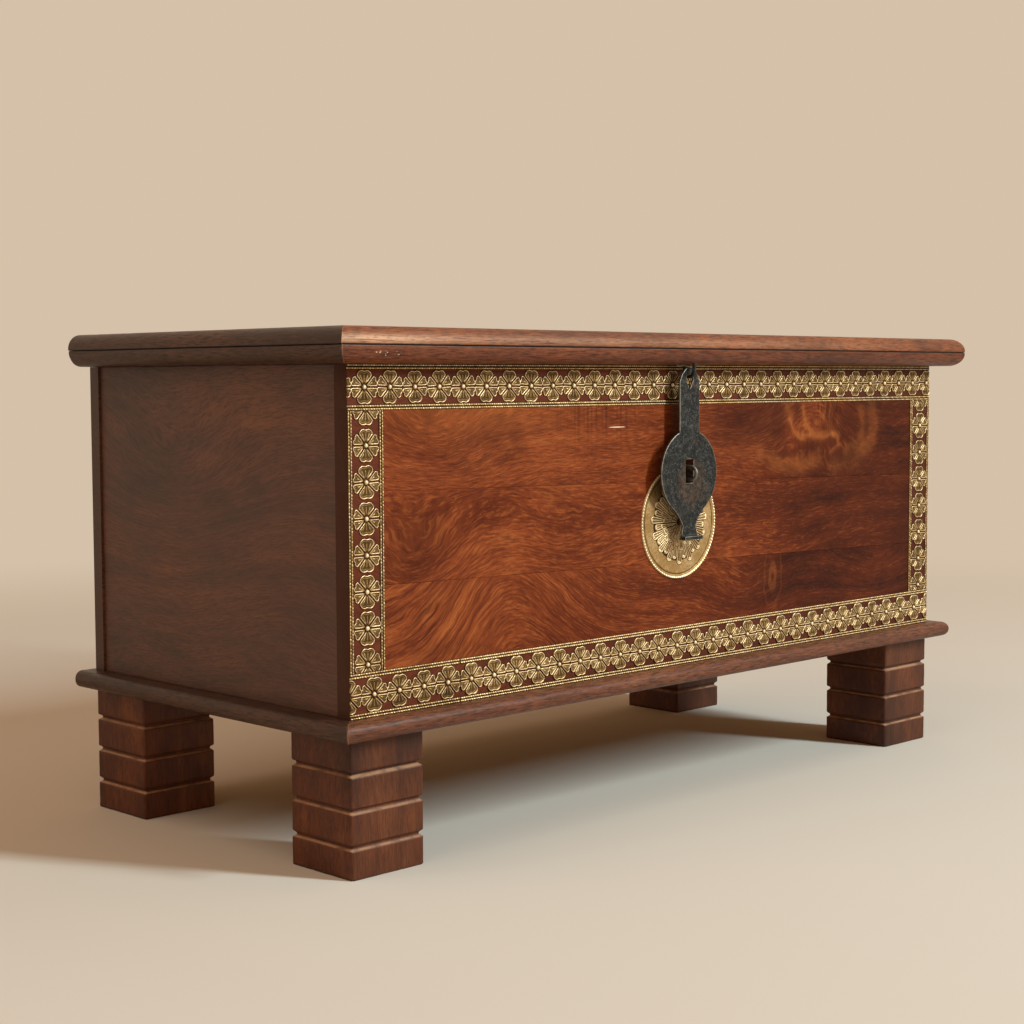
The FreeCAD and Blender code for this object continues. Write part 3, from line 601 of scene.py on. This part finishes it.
def loft(name, rings, body, material, sharp=40.0):
    """A piece drawn through a row of rings, with a cap on each end."""
    count, around = rings.shape[:2]
    faces = [*tube_faces(count, around), tuple(range(around))[::-1]]
    new_piece(name, rings.reshape(-1, 3), faces, body, material, sharp=sharp)


def spaced(length, step, fine=(0.0, 0.3 * MM, 0.8 * MM, 1.5 * MM, 2.6 * MM)):
    """Places from 0 to length, fine near both ends and a step apart between."""
    middle = np.linspace(fine[-1], length - fine[-1], max(2, round(length / step)))[1:-1]
    ends = np.array(fine)
    return np.concatenate([ends, middle, length - ends[::-1]])


def edge_drop(distance, radius):
    """How far a rounded edge falls below its face at a distance from the edge."""
    reach = np.clip(1.0 - distance / radius, 0.0, 1.0)
    return radius * (1.0 - np.sqrt(1.0 - reach * reach))


BOARD_STEP = 7 * MM
BOARD_EASING = 0.6 * MM
BOARD_HOLLOW = 0.3 * MM


def board(name, corners, outward, thickness, material, seed):
    """A solid plank whose outer face is slightly uneven and whose edges are worn.

    corners are the low start, low end, high start and high end of the outer face.
    """
    low_start, low_end, high_start, high_end = (np.array(corner) for corner in corners)
    outward = np.array(outward)
    length = np.linalg.norm(low_end - low_start)
    width = (np.linalg.norm(high_start - low_start) + np.linalg.norm(high_end - low_end)) / 2
    run = spaced(length, BOARD_STEP)
    rise = spaced(width, BOARD_STEP)
    run_share = (run / length)[:, None, None]
    rise_share = (rise / width)[None, :, None]
    low = low_start + (low_end - low_start) * run_share
    high = high_start + (high_end - high_start) * run_share
    face = low + (high - low) * rise_share
    lattice = Lattice(seed)
    radius = BOARD_EASING * (1.0 + 0.55 * lattice(face, 23 * MM))
    from_ends = np.minimum(run, length - run)[:, None]
    from_sides = np.minimum(rise, width - rise)[None, :]
    drop = np.minimum(edge_drop(from_ends, radius) + edge_drop(from_sides, radius), radius)
    hollow = BOARD_HOLLOW * (1.0 + lattice(face, 0.13)) / 2
    face = face - outward * (drop + hollow)[..., None]
    back = np.concatenate([high, low], axis=1) - outward * thickness
    rings = np.concatenate([face, back], axis=1)
    loft(name, rings, "chest", material)


STICK_STEP = 4 * MM
DENT_COUNT = 60


def nose_profile(width, thickness, radius_low, radius_high, bevel):
    """The outline of a stick: (out from the inner edge, up from the bottom), anticlockwise."""
    def corner(radius, turn_from):
        count = 12 if radius > bevel else 2
        turns = np.radians(turn_from + 90.0 * np.arange(count + 1) / count)
        centre = np.array([width - radius, radius if turn_from < 0 else thickness - radius])
        return centre + radius * np.stack([np.cos(turns), np.sin(turns)], axis=1)
    inner_low = [(0.0, 0.0), (width * 0.3, 0.0)]
    inner_high = [(out, thickness) for out in np.linspace(width - radius_high, 0.0, 12)[1:]]
    return np.concatenate([inner_low, corner(radius_low, -90.0), corner(radius_high, 0.0), inner_high])


def stick(name, start, end, outward, mitres, profile, body, material, seed):
    """A moulding with dents along its nose; mitres say how far each end grows per unit outward."""
    start, end, outward = (np.array(part, dtype=float) for part in (start, end, outward))
    direction = (end - start) / np.linalg.norm(end - start)
    out, up = profile[:, 0], profile[:, 1]
    width = out.max()
    length = np.linalg.norm(end - start)
    first = start - direction * mitres[0] * out[:, None]
    last = end + direction * mitres[1] * out[:, None]
    share = (spaced(length, STICK_STEP) / length)[:, None, None]
    rings = first + (last - first) * share
    rings = rings + outward * out[:, None] + np.array([0.0, 0.0, 1.0]) * up[:, None]
    lattice = Lattice(seed)
    chance = np.random.default_rng(seed)
    core = start + (end - start) * share + outward * (width * 0.55) + np.array([0.0, 0.0, up.mean()])
    inward = core - rings
    inward /= np.linalg.norm(inward, axis=-1, keepdims=True)
    nose = np.clip((out / width - 0.45) / 0.3, 0.0, 1.0)[None, :]
    push = 0.35 * MM * (1.0 + lattice(rings, 90 * MM)) * nose / 2
    push = push + 0.14 * MM * (1.0 + lattice(rings, 11 * MM)) * nose / 2
    spots = rings.reshape(-1, 3)[chance.integers(0, rings.size // 3, DENT_COUNT)]
    for spot in spots:
        size = chance.uniform(2.0, 7.0) * MM
        deep = chance.uniform(0.15, 0.7) * MM
        far = np.linalg.norm(rings - spot, axis=-1) / size
        push = push + deep * np.exp(-far * far) * nose
    rings = rings + inward * push[..., None]
    loft(name, rings, body, material, sharp=50.0)


def triples(rows, key):
    """The vectors that the rows of a mesh hold, as an array."""
    found = np.empty(len(rows) * 3)
    rows.foreach_get(key, found)
    return found.reshape(-1, 3)


SMOOTH_ROUNDS = 2


def worn_copy(name, body, material, voxel, deep, cell, seed):
    """A finely meshed copy of a CAD node with softened edges and an uneven surface."""
    blank = bpy.data.objects.new("blank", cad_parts[name].data.copy())
    bpy.context.scene.collection.objects.link(blank)
    remesh = blank.modifiers.new("remesh", "REMESH")
    remesh.mode = "VOXEL"
    remesh.voxel_size = voxel
    soften = blank.modifiers.new("soften", "SMOOTH")
    soften.iterations = SMOOTH_ROUNDS
    shaped = bpy.data.meshes.new_from_object(blank.evaluated_get(bpy.context.evaluated_depsgraph_get()))
    bpy.data.objects.remove(blank)
    points = triples(shaped.vertices, "co")
    normals = triples(shaped.vertex_normals, "vector")
    lattice = Lattice(seed)
    uneven = (1.0 + lattice(points, cell)) / 2 + 0.4 * (1.0 + lattice(points, cell / 3)) / 2
    points = points - normals * (deep * uneven)[:, None]
    points[:, 2] = np.maximum(points[:, 2], 0.0)
    faces = [tuple(polygon.vertices) for polygon in shaped.polygons]
    bpy.data.meshes.remove(shaped)
    new_piece(name, points, faces, body, material, sharp=180.0)


def node_box(name):
    return (np.array(corner, dtype=float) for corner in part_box(name))


# Embossed brass. Lengths in this section are millimetres over the face of the front boards.

RELIEF_STEP = 0.6
BAND_WIDTH = 49.0
ROPE_ROWS = (1.3, 4.5)
ROPE_HALF = 1.05
PETAL_GAP = 0.6
BEAD_PITCH = 3.5
STRIP_WIDTH = 6.0
BELOW = -0.5
BAND_JOINTS = {"brass_band_bottom": -391.0}


def smooth(value, low, high):
    share = np.clip((value - low) / (high - low), 0.0, 1.0)
    return share * share * (3.0 - 2.0 * share)


def crest(gap, width):
    """1 on a line, fading to 0 over its width."""
    return np.exp(-(gap / width) ** 2)


def dome(gap, reach):
    """The height of a round bulge: 1 in its middle and 0 from its reach on."""
    return np.sqrt(np.clip(1.0 - (gap / reach) ** 2, 0.0, 1.0))


def mix(first, second, share):
    return first + (second - first) * share


def petal(angle, radius, axis, spread, reach, notch, shoulder, strokes):
    """Height and cover of a two-lobed petal: a raised outline, a gap, a second line and strokes inside."""
    turn = (angle - axis + 180.0) % 360.0 - 180.0
    share = turn / spread
    rim = reach - notch * crest(share, 0.24) - shoulder * np.abs(share) ** 4
    to_side = radius * np.radians(spread) * (1.0 - np.abs(share)) - PETAL_GAP
    inside = np.minimum(np.minimum(to_side, rim - radius), radius - 2.2)
    inside = np.where(np.abs(share) > 1.15, -5.0, inside)
    outline = crest(inside - 0.75, 0.5)
    second = crest(inside - 3.0, 0.45) * smooth(radius, 9.0, 11.0)
    marks = np.zeros_like(radius)
    for stroke in strokes:
        off = radius * np.radians(spread) * np.abs(share - stroke)
        length = smooth(radius, 4.4, 5.8) * (1.0 - smooth(radius, rim - 5.4, rim - 4.2))
        marks = np.maximum(marks, crest(off, 0.5) * length)
    fade = smooth(radius, 4.0, 8.0)
    height = 0.4 + (1.1 * outline + 0.35 * second) * (0.4 + 0.6 * fade)
    return inside, height + 0.6 * marks * (1.0 - outline)


def flower(dx, dy, wide):
    """Relief of one flower: a broad petal up and down and two narrower ones on each side."""
    radius = np.hypot(dx, dy)
    angle = np.degrees(np.arctan2(dy, dx))
    height = np.full_like(radius, BELOW)
    narrow = (90.0 - wide) / 2
    petals = [(axis, wide - 0.5, 18.8, 1.5, 5.0, (-0.5, 0.0, 0.5)) for axis in (90.0, -90.0)]
    petals += [(side + tilt, narrow - 0.5, 18.9, 1.2, 3.6, (0.0,)) for side, tilt in
               itertools.product((0.0, 180.0), (narrow, -narrow))]
    for axis, spread, reach, notch, shoulder, strokes in petals:
        inside, raised = petal(angle, radius, axis, spread, reach, notch, shoulder, strokes)
        cover = smooth(inside, -0.45, 0.25)
        height = np.maximum(height, mix(BELOW, raised, cover))
    core = 1.0 - smooth(radius, 4.2, 5.6)
    height = np.maximum(height, mix(BELOW, 0.2, core))
    pressed = crest(radius - 3.3, 0.7)
    height = height - 0.5 * pressed * core
    boss = 1.0 - smooth(radius, 2.2, 2.9)
    return mix(height, 0.9, boss)


def rope(run, across):
    """Relief of one edge of a band: two rows of long beads."""
    height = np.full_like(run, 0.15)
    for number, row in enumerate(ROPE_ROWS):
        bulge = dome(across - row, ROPE_HALF)
        beat = np.abs(np.sin(np.pi * (run / BEAD_PITCH + 0.5 * number)))
        lively = 0.84 + 0.16 * np.sin(0.9 * run + 1.7 * number) * np.sin(0.37 * run)
        height = np.maximum(height, 0.15 + 1.25 * lively * bulge * (0.3 + 0.7 * np.sqrt(beat)))
    return np.where(across < 0.2, BELOW, height)


def band_relief(run, across, centres, upright, seed):
    """Relief of a band; run is along it, across from its outer edge, and centres where its flowers lie."""
    chance = np.random.default_rng(seed)
    height = np.full_like(run, BELOW)
    for centre in centres:
        size = chance.uniform(0.97, 1.03)
        lean = math.radians(chance.uniform(-3.0, 3.0))
        wide = chance.uniform(41.0, 48.0)
        near = np.abs(run[:, 0] - centre) < BAND_WIDTH / 2
        ahead = run[near] - centre
        aside = across[near] - BAND_WIDTH / 2
        dx, dy = (aside, ahead) if upright else (ahead, aside)
        turned_x = (dx * math.cos(lean) + dy * math.sin(lean)) / size
        turned_y = (dy * math.cos(lean) - dx * math.sin(lean)) / size
        height[near] = np.maximum(height[near], flower(turned_x, turned_y, wide))
    edge = np.minimum(across, BAND_WIDTH - across)
    strip = 1.0 - smooth(edge, STRIP_WIDTH - 0.4, STRIP_WIDTH)
    return np.where(strip > 0.0, np.maximum(height * (1 - strip), rope(run, edge) * strip), height)


def relief_piece(name, points, height, proud, material, wraps=False):
    """A mesh over a grid of points, without the cells that lie under the wood."""
    numbers = np.arange(height.size).reshape(height.shape)
    if wraps:
        numbers = np.concatenate([numbers, numbers[:1]], axis=0)
    quads = np.stack([numbers[:-1, :-1], numbers[1:, :-1], numbers[1:, 1:], numbers[:-1, 1:]], axis=-1)
    quads = quads.reshape(-1, 4)
    quads = quads[height.ravel()[quads].max(axis=1) > BELOW / 2]
    used, renumbered = np.unique(quads, return_inverse=True)
    faces = renumbered.reshape(-1, 4).tolist()
    new_piece(name, points.reshape(-1, 3)[used], faces, "chest", material,
              proud=proud.ravel()[used], sharp=180.0)


def brass_band(name, nails, material, seed):
    """One band over the box of its CAD node, with a flower at each nail."""
    low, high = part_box(name)
    upright = high[2] - low[2] > high[0] - low[0]
    axis = 2 if upright else 0
    start, length = low[axis], (high[axis] - low[axis]) / MM
    lines = (np.linspace(0.0, side, round(side / RELIEF_STEP) + 1) for side in (length, BAND_WIDTH))
    run, across = np.meshgrid(*lines, indexing="ij")
    inside = np.all((nails[:, (0, 2)] > (low[0], low[2])) & (nails[:, (0, 2)] < (high[0], high[2])), axis=1)
    centres = np.sort((nails[inside][:, axis] - start) / MM)
    pitch = np.diff(centres).mean()
    centres = np.concatenate([[centres[0] - pitch], centres, [centres[-1] + pitch]])
    height = band_relief(run, across, centres, upright, seed)
    step = 0.0
    if name in BAND_JOINTS:
        beyond = run - (BAND_JOINTS[name] - start / MM)
        step = 0.35 * smooth(beyond, -0.6, 0.0) * (height > BELOW / 2)
        height = height + step - 0.7 * crest(beyond + 0.8, 0.7) * (height > BELOW / 2)
    proud = np.clip((height - 0.65 * step - 0.1) / 1.3, 0.0, 1.0)
    height[[0, -1]] = BELOW
    height = height + 0.12 * Lattice(seed)(np.stack([run, across, np.zeros_like(run)], axis=-1), 9.0)
    lengthways = start + run * MM
    crossways = (low[0] if upright else low[2]) + across * MM
    x, z = (crossways, lengthways) if upright else (lengthways, crossways)
    points = np.stack([x, FRONT - height * MM, z], axis=-1)
    if not upright:
        points, height, proud = points[::-1], height[::-1], proud[::-1]
    relief_piece(name, points, height, proud, material)


NAIL_RADIUS = 2.5
NAIL_HEIGHT = 2.6
NAIL_SIDES = 20
NAIL_SHARES = ((1.0, 0.2), (1.0, 0.42), (0.93, 0.62), (0.78, 0.8), (0.55, 0.94), (0.3, 1.0), (0.14, 0.97))


def nail_middles():
    """The middle of each nail of the CAD, where the nails lie well apart."""
    spots = triples(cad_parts["band_nails"].data.vertices, "co")
    middles = []
    while len(spots):
        near = np.linalg.norm(spots - spots[0], axis=1) < 4.0 * NAIL_RADIUS * MM
        middles.append((spots[near].min(axis=0) + spots[near].max(axis=0)) / 2)
        spots = spots[~near]
    return np.array(middles)


def brass_nails(nails, material):
    """Domed nail heads, no two quite alike, each with a small dimple."""
    chance = np.random.default_rng(11)
    points, faces, proud = [], [], []
    turns = np.arange(NAIL_SIDES) * math.tau / NAIL_SIDES
    for middle in nails:
        wide = NAIL_RADIUS * MM * chance.uniform(0.92, 1.06)
        tall = NAIL_HEIGHT * MM * chance.uniform(0.9, 1.0)
        squash = chance.uniform(0.94, 1.0)
        first = len(points)
        for share_out, share_up in NAIL_SHARES:
            for turn in turns:
                points.append((middle[0] + wide * share_out * math.cos(turn), FRONT - tall * share_up,
                               middle[2] + wide * share_out * squash * math.sin(turn)))
                proud.append(0.75 + 0.25 * share_up)
        faces += tube_faces(len(NAIL_SHARES), NAIL_SIDES, first)
    new_piece("band_nails", np.array(points), faces, "chest", material, proud=proud, sharp=60.0)


MEDALLION_TURNS = 900
MEDALLION_BEADS = 110
# Layers of loops on the medallion: how many, from and to which share of its radius, and how tall
LOOPS = ((30, 0.34, 0.755, 1.4), (24, 0.2, 0.52, 1.1), (18, 0.06, 0.3, 0.8))
PLATE_RIM = 1.3
LINE_INSET = 6.0
HEAD_RADIUS = 2.4
BOSS_RADIUS = 5.0
# How rubbed the plate, the ground between the petals and the petals are
PLATE_TONE = 0.63
GROUND_TONE = 0.08
PETAL_TONE = 0.44
# Painted shadow of the hasp on the disc, darker where the hasp hangs in front: how far above its middle, and
# how far around
HASP_SHADOW_RISE = 48.0
HASP_SHADOW_RADIUS = 44.0


def medallion(material):
    """A round plate with a beaded rim, a plain ring and a rosette of looped petals."""
    low, high = node_box("medallion")
    middle = (low + high) / 2
    reach = (high[0] - low[0]) / 2 / MM
    radius, turn = np.meshgrid(np.linspace(0.0, reach, round(reach / RELIEF_STEP) + 1),
                               np.arange(MEDALLION_TURNS) * 360.0 / MEDALLION_TURNS)
    out, up = radius * np.cos(np.radians(turn)), radius * np.sin(np.radians(turn))
    beads = 0.75 + 0.25 * np.sin(np.radians(turn * MEDALLION_BEADS))
    rim = dome(radius - reach + PLATE_RIM, PLATE_RIM)
    line = crest(radius - reach + LINE_INSET, 0.7)
    rosette = 1.0 - smooth(radius, reach * 0.66, reach * 0.7)
    height = 1.0 + 1.4 * rim * beads - 0.6 * line - 0.4 * rosette
    proud = PLATE_TONE + 0.4 * rim * beads - 0.4 * line + (GROUND_TONE - PLATE_TONE) * rosette
    chance = np.random.default_rng(17)
    for count, start, stop, tall in LOOPS:
        part = 360.0 / count
        number = np.floor(turn / part).astype(int)
        tips = reach * (stop - 0.08 * (np.arange(count) % 2) + chance.uniform(-0.02, 0.02, count))
        tip = tips[number]
        half = radius * np.radians(part / 2)
        aside = half * (turn / part - number - 0.5) * 2.0
        wide = np.minimum(half, reach * stop * np.radians(part / 2))
        inside = wide - np.hypot(aside, np.maximum(radius - tip + wide, 0.0))
        inside = np.minimum(inside, radius - reach * start)
        curl = np.hypot(aside, radius - tip + HEAD_RADIUS + 0.6)
        cover = smooth(inside, 0.0, 0.5)
        outline = crest(inside - 1.3, 0.85)
        head = crest(curl - HEAD_RADIUS / 2, 0.9)
        stem = 0.85 * crest(aside, 0.85) * smooth(tip - radius, 4.0, 6.0)
        ridge = cover * np.maximum(np.maximum(outline, head), stem)
        height = mix(height, 0.6 + tall * ridge, cover)
        inner = mix(GROUND_TONE, PETAL_TONE, smooth(inside, 0.4, 1.0))
        proud = mix(proud, np.maximum(ridge * (0.6 + 0.4 * tall / 1.4), inner), cover)
    # Painted shadow: the disc is darkened around where the hasp hangs in front of it
    hasp_shadow_gap = np.hypot(out, up - HASP_SHADOW_RISE)
    proud = proud - 0.5 * (1.0 - smooth(hasp_shadow_gap, HASP_SHADOW_RADIUS * 0.4, HASP_SHADOW_RADIUS))
    height = height + 1.2 * dome(radius, BOSS_RADIUS)
    flat = np.stack([out, up, np.zeros_like(out)], axis=-1)
    height = height + 0.16 * Lattice(5)(flat, 6.0) + 0.06 * Lattice(6)(flat, 2.4)
    height[:, -1] = BELOW
    points = np.array([middle[0], FRONT, middle[2]]) + np.stack([out, -height, up], axis=-1) * MM
    relief_piece("medallion", points, height + 1.0, np.clip(proud, 0.0, 1.0), material, wraps=True)


# The chest, piece by piece

FRONT_FIGURE = {
    "front_rail_top": ((), ()),
    "front_board_upper": ((((0.26, 0.50), (0.10, 0.06), -0.06), ((0.33, 0.40), (0.12, 0.04), 0.02),
                           ((-0.42, 0.47), (0.08, 0.05), 0.03), ((0.05, 0.43), (0.12, 0.05), -0.02)),
                          (upper_figure,)),
    "front_board_middle": ((((-0.46, 0.33), (0.09, 0.06), 0.045), ((-0.2, 0.34), (0.12, 0.05), 0.015)),
                           (middle_figure,)),
    "front_board_lower": ((((-0.31, 0.31), (0.115, 0.16), -0.115), ((0.12, 0.24), (0.1, 0.06), 0.03),
                           ((0.42, 0.27), (0.08, 0.05), 0.03)), (lower_figure,)),
}
# Painted shade: the front boards are lighter at the left and darker towards the right end, for the lamp's
# light falling off
FRONT_PAINTED_FALLOFF = (-0.12, 0.42, 0.05, -0.26)


def front_boards():
    """The rail and the boards of the front; their slanting seams are read from the CAD's corners."""
    for seed, (name, (bends, figures)) in enumerate(FRONT_FIGURE.items(), start=1):
        low, high = node_box(name)
        spots = triples(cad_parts[name].data.vertices, "co")
        corners = [(end, low[1], pick(spots[np.abs(spots[:, 0] - end) < 0.1 * MM, 2]))
                   for pick in (min, max) for end in (low[0], high[0])]
        timber = wood(name, "XZY", FRONT_TIMBER, seed, bends, (*figures, shade_under_bands), FRONT_PAINTED_FALLOFF, sheen=0.1,
                      fine=0.75, bright=0.55, cloudy=0.9)
        board(name, corners, (0.0, -1.0, 0.0), high[1] - low[1], timber, seed)


def end_panels():
    for seed, side, sign in ((21, "left", -1), (22, "right", 1)):
        name = f"end_panel_{side}"
        low, high = node_box(name)
        face = low[0] if sign < 0 else high[0]
        corners = [(face, y, z) for z in (low[2], high[2]) for y in (low[1], high[1])[::sign]]
        bends = (((0.1, 0.42), (0.16, 0.09), 0.08), ((-0.12, 0.3), (0.12, 0.1), -0.04))
        timber = wood(name, "YZX", DARK_TIMBER, seed, bends, polish=0.5, sheen=0.45, fine=0.7)
        board(name, corners, (sign, 0.0, 0.0), high[0] - low[0], timber, seed)


def lid_joint(grain, colour):
    """The joint between the two layers of the lid is black with old dirt."""
    gap = grain.art.math("ABSOLUTE", grain.art.scaled(grain.across, 1.0, -LID_JOINT))
    return grain.art.over(colour, grain.art.between(gap, 1.5 * MM, 0.8 * MM), 0.85, JOINT_DIRT)


# Painted highlights on the lid's front edge: the middle, the reach and the share of the pale colour laid on
LID_HIGHLIGHTS = (((-0.55, 0.5745), (0.10, 0.0045), 0.95), ((-0.2, 0.5755), (0.5, 0.005), 0.35))


def lid_highlight_and_chips(grain, colour):
    """A painted highlight, a pale streak over the joint of the lid at its left corner, and a few chips below
    it.
    """
    art = grain.art
    streaks = art.between(grain.strokes(30.0, 700.0), 0.3, 0.52)
    # Painted highlight: pale streaks stand in for the lamp's sheen on the lid's edge
    for centre, spreads, share in LID_HIGHLIGHTS:
        streak = art.times(grain.spot(centre, spreads), streaks)
        colour = art.over(colour, streak, share, WORN_AND_HIGHLIGHT_TIMBER)
    chips = art.between(grain.cloud(170.0, 330.0, 1.0), 0.6, 0.64)
    chips = art.times(chips, grain.spot((-0.527, 0.5595), (0.024, 0.003)))
    return art.over(colour, art.between(chips, 0.3, 0.45), 0.8, BARE_SCRATCH)


def mouldings(prefix, body, timber, profile, seed):
    """The front and side sticks of a frame that runs round the chest."""
    low, high = node_box(f"{prefix}_front")
    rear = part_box(f"{prefix}_left")[1][1]
    width = profile[:, 0].max()
    left, right, front = low[0] + width, high[0] - width, low[1] + width
    sticks = {
        "front": ((left, front), (right, front), (0, -1), (1, 1)),
        "left": ((left, rear), (left, front), (-1, 0), (0, 1)),
        "right": ((right, front), (right, rear), (1, 0), (1, 0)),
    }
    for number, (side, (start, end, outward, mitres)) in enumerate(sticks.items()):
        name = f"{prefix}_{side}"
        axes = "XZY" if side == "front" else "YZX"
        # Painted shade: the side sticks take the darker SHADE_TIMBER
        colours = timber if side == "front" else SHADE_TIMBER
        figures = () if body == "chest" else (lid_highlight_and_chips, lid_joint) if side == "front" else (lid_joint,)
        material = wood(name, axes, colours, seed + number, (), figures, worn=0.4, polish=0.42, sheen=0.32,
                        fine=1.3, cloudy=0.8, wander=0.2)
        stick(name, (*start, low[2]), (*end, low[2]), (*outward, 0), mitres, profile, body, material,
              seed + number)


def frames():
    low, high = node_box("lid_edge_front")
    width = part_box("lid_board_front")[0][1] - low[1]
    thickness = high[2] - low[2]
    bevel = 1.4 * MM
    nose = thickness - bevel - 0.5 * MM
    upper = nose_profile(width, thickness, bevel, nose, bevel)
    lower = nose_profile(width, thickness, nose, bevel, bevel)
    mouldings("lid_edge", "lid", RED_TIMBER, upper, 31)
    mouldings("lid_rim", "lid", RIM_TIMBER, lower, 35)
    low, high = node_box("base_moulding_front")
    thickness = high[2] - low[2]
    round_edge = (thickness - 1.4 * MM) / 2
    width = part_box("base_moulding_rear")[1][1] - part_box("base_moulding_rear")[0][1]
    mouldings("base_moulding", "chest", LEDGE_TIMBER,
              nose_profile(width, thickness, round_edge, round_edge, 0.8 * MM), 41)


def feet():
    for seed, (row, side) in enumerate(itertools.product(("front", "rear"), ("left", "right")), start=51):
        name = f"foot_{row}_{side}"
        timber = wood(name, "ZXY", FOOT_TIMBER, seed, worn=0.3, dusty=0.75, polish=0.5, fine=0.6, cloudy=1.7,
                      shade_and_grime_in_hollows=0.8)
        worn_copy(name, "chest", timber, 1.5 * MM, 0.35 * MM, 12 * MM, seed)


def plain_nodes():
    """Carried-over CAD nodes, each with a finish of its own."""
    grain = {"back_board": ("XZY", DARK_TIMBER), "bottom_board": ("XYZ", PLAIN_TIMBER),
             "lid_board": ("XYZ", RED_TIMBER), "lid_batten": ("YXZ", PLAIN_TIMBER),
             "lid_edge_rear": ("XYZ", DARK_TIMBER), "lid_rim_rear": ("XYZ", DARK_TIMBER),
             "base_moulding_rear": ("XYZ", DARK_TIMBER)}
    seed = 61
    for name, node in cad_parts.items():
        for prefix, (axes, timber) in grain.items():
            if name.startswith(prefix):
                seed += 1
                dress(node, wood(name, axes, timber, seed, polish=0.42))
    blackened = iron("blackened_iron", 0.55, 0.7)
    steel = iron("iron_fixings", 0.35, 0.9)
    for name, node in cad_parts.items():
        if name.startswith(("hinge_pin", "hinge_screws")):
            dress(node, steel)
        elif name.startswith(("hinge", "hasp", "lock_staple")):
            dress(node, blackened)


WIRE_RADIUS = 2.2 * MM
RING_RADIUS = 8 * MM
BEND_RADIUS = 5 * MM
WIRE_SIDES = 20


def arc(centre, radius, start, stop):
    """Places in the plane of a bent wire, on a circle from one angle to another in degrees."""
    turns = np.radians(np.linspace(start, stop, round(abs(stop - start) / 7.5) + 1))
    return np.array(centre) + radius * np.stack([np.cos(turns), np.sin(turns)], axis=1)


def staple_wire(material):
    """The clinched wire that the hasp closes over, a little uneven along its length."""
    low, high = node_box("lock_staple")
    inside, outside = high[1] - WIRE_RADIUS, low[1] + WIRE_RADIUS + RING_RADIUS
    middle = (low[2] + high[2]) / 2
    bend_out, bend_up = inside - BEND_RADIUS, RING_RADIUS + BEND_RADIUS
    path = np.concatenate([[(inside, high[2])], arc((bend_out, middle + bend_up), BEND_RADIUS, 0, -90),
                           arc((outside, middle), RING_RADIUS, 90, 270),
                           arc((bend_out, middle - bend_up), BEND_RADIUS, 90, 0), [(inside, low[2])]])
    step = np.gradient(path, axis=0)
    step /= np.linalg.norm(step, axis=1, keepdims=True)
    turns = np.arange(WIRE_SIDES) * math.tau / WIRE_SIDES
    along = np.stack([np.zeros(len(path)), path[:, 0], path[:, 1]], axis=1)[:, None, :]
    radius = WIRE_RADIUS * (0.96 + 0.04 * Lattice(73)(along, 6 * MM))
    out = radius * np.sin(turns)
    rings = np.stack([(low[0] + high[0]) / 2 + radius * np.cos(turns), path[:, :1] + step[:, 1:] * out,
                      path[:, 1:] - step[:, :1] * out], axis=-1)
    loft("lock_staple", rings, "chest", material, sharp=60.0)


def lock():
    forged = iron("forged_iron", 0.5, 0.75, stained=True, dense=True)
    worn_copy("hasp", "hasp", forged, 0.75 * MM, 0.3 * MM, 9 * MM, 71)
    staple_wire(iron("staple_wire", 0.4, 0.6, dense=True))


def embossing():
    metal = brass("brass", 0.85)
    nails = nail_middles()
    for seed, side in enumerate(("top", "bottom", "left", "right"), start=81):
        brass_band(f"brass_band_{side}", nails, metal, seed)
    brass_nails(nails, brass("nail_brass", 0.35))
    medallion(metal)


place_camera()
for light, settings in LIGHTS.items():
    soft_light(light, *settings)
set_stage()
front_boards()
end_panels()
frames()
feet()
plain_nodes()
lock()
embossing()
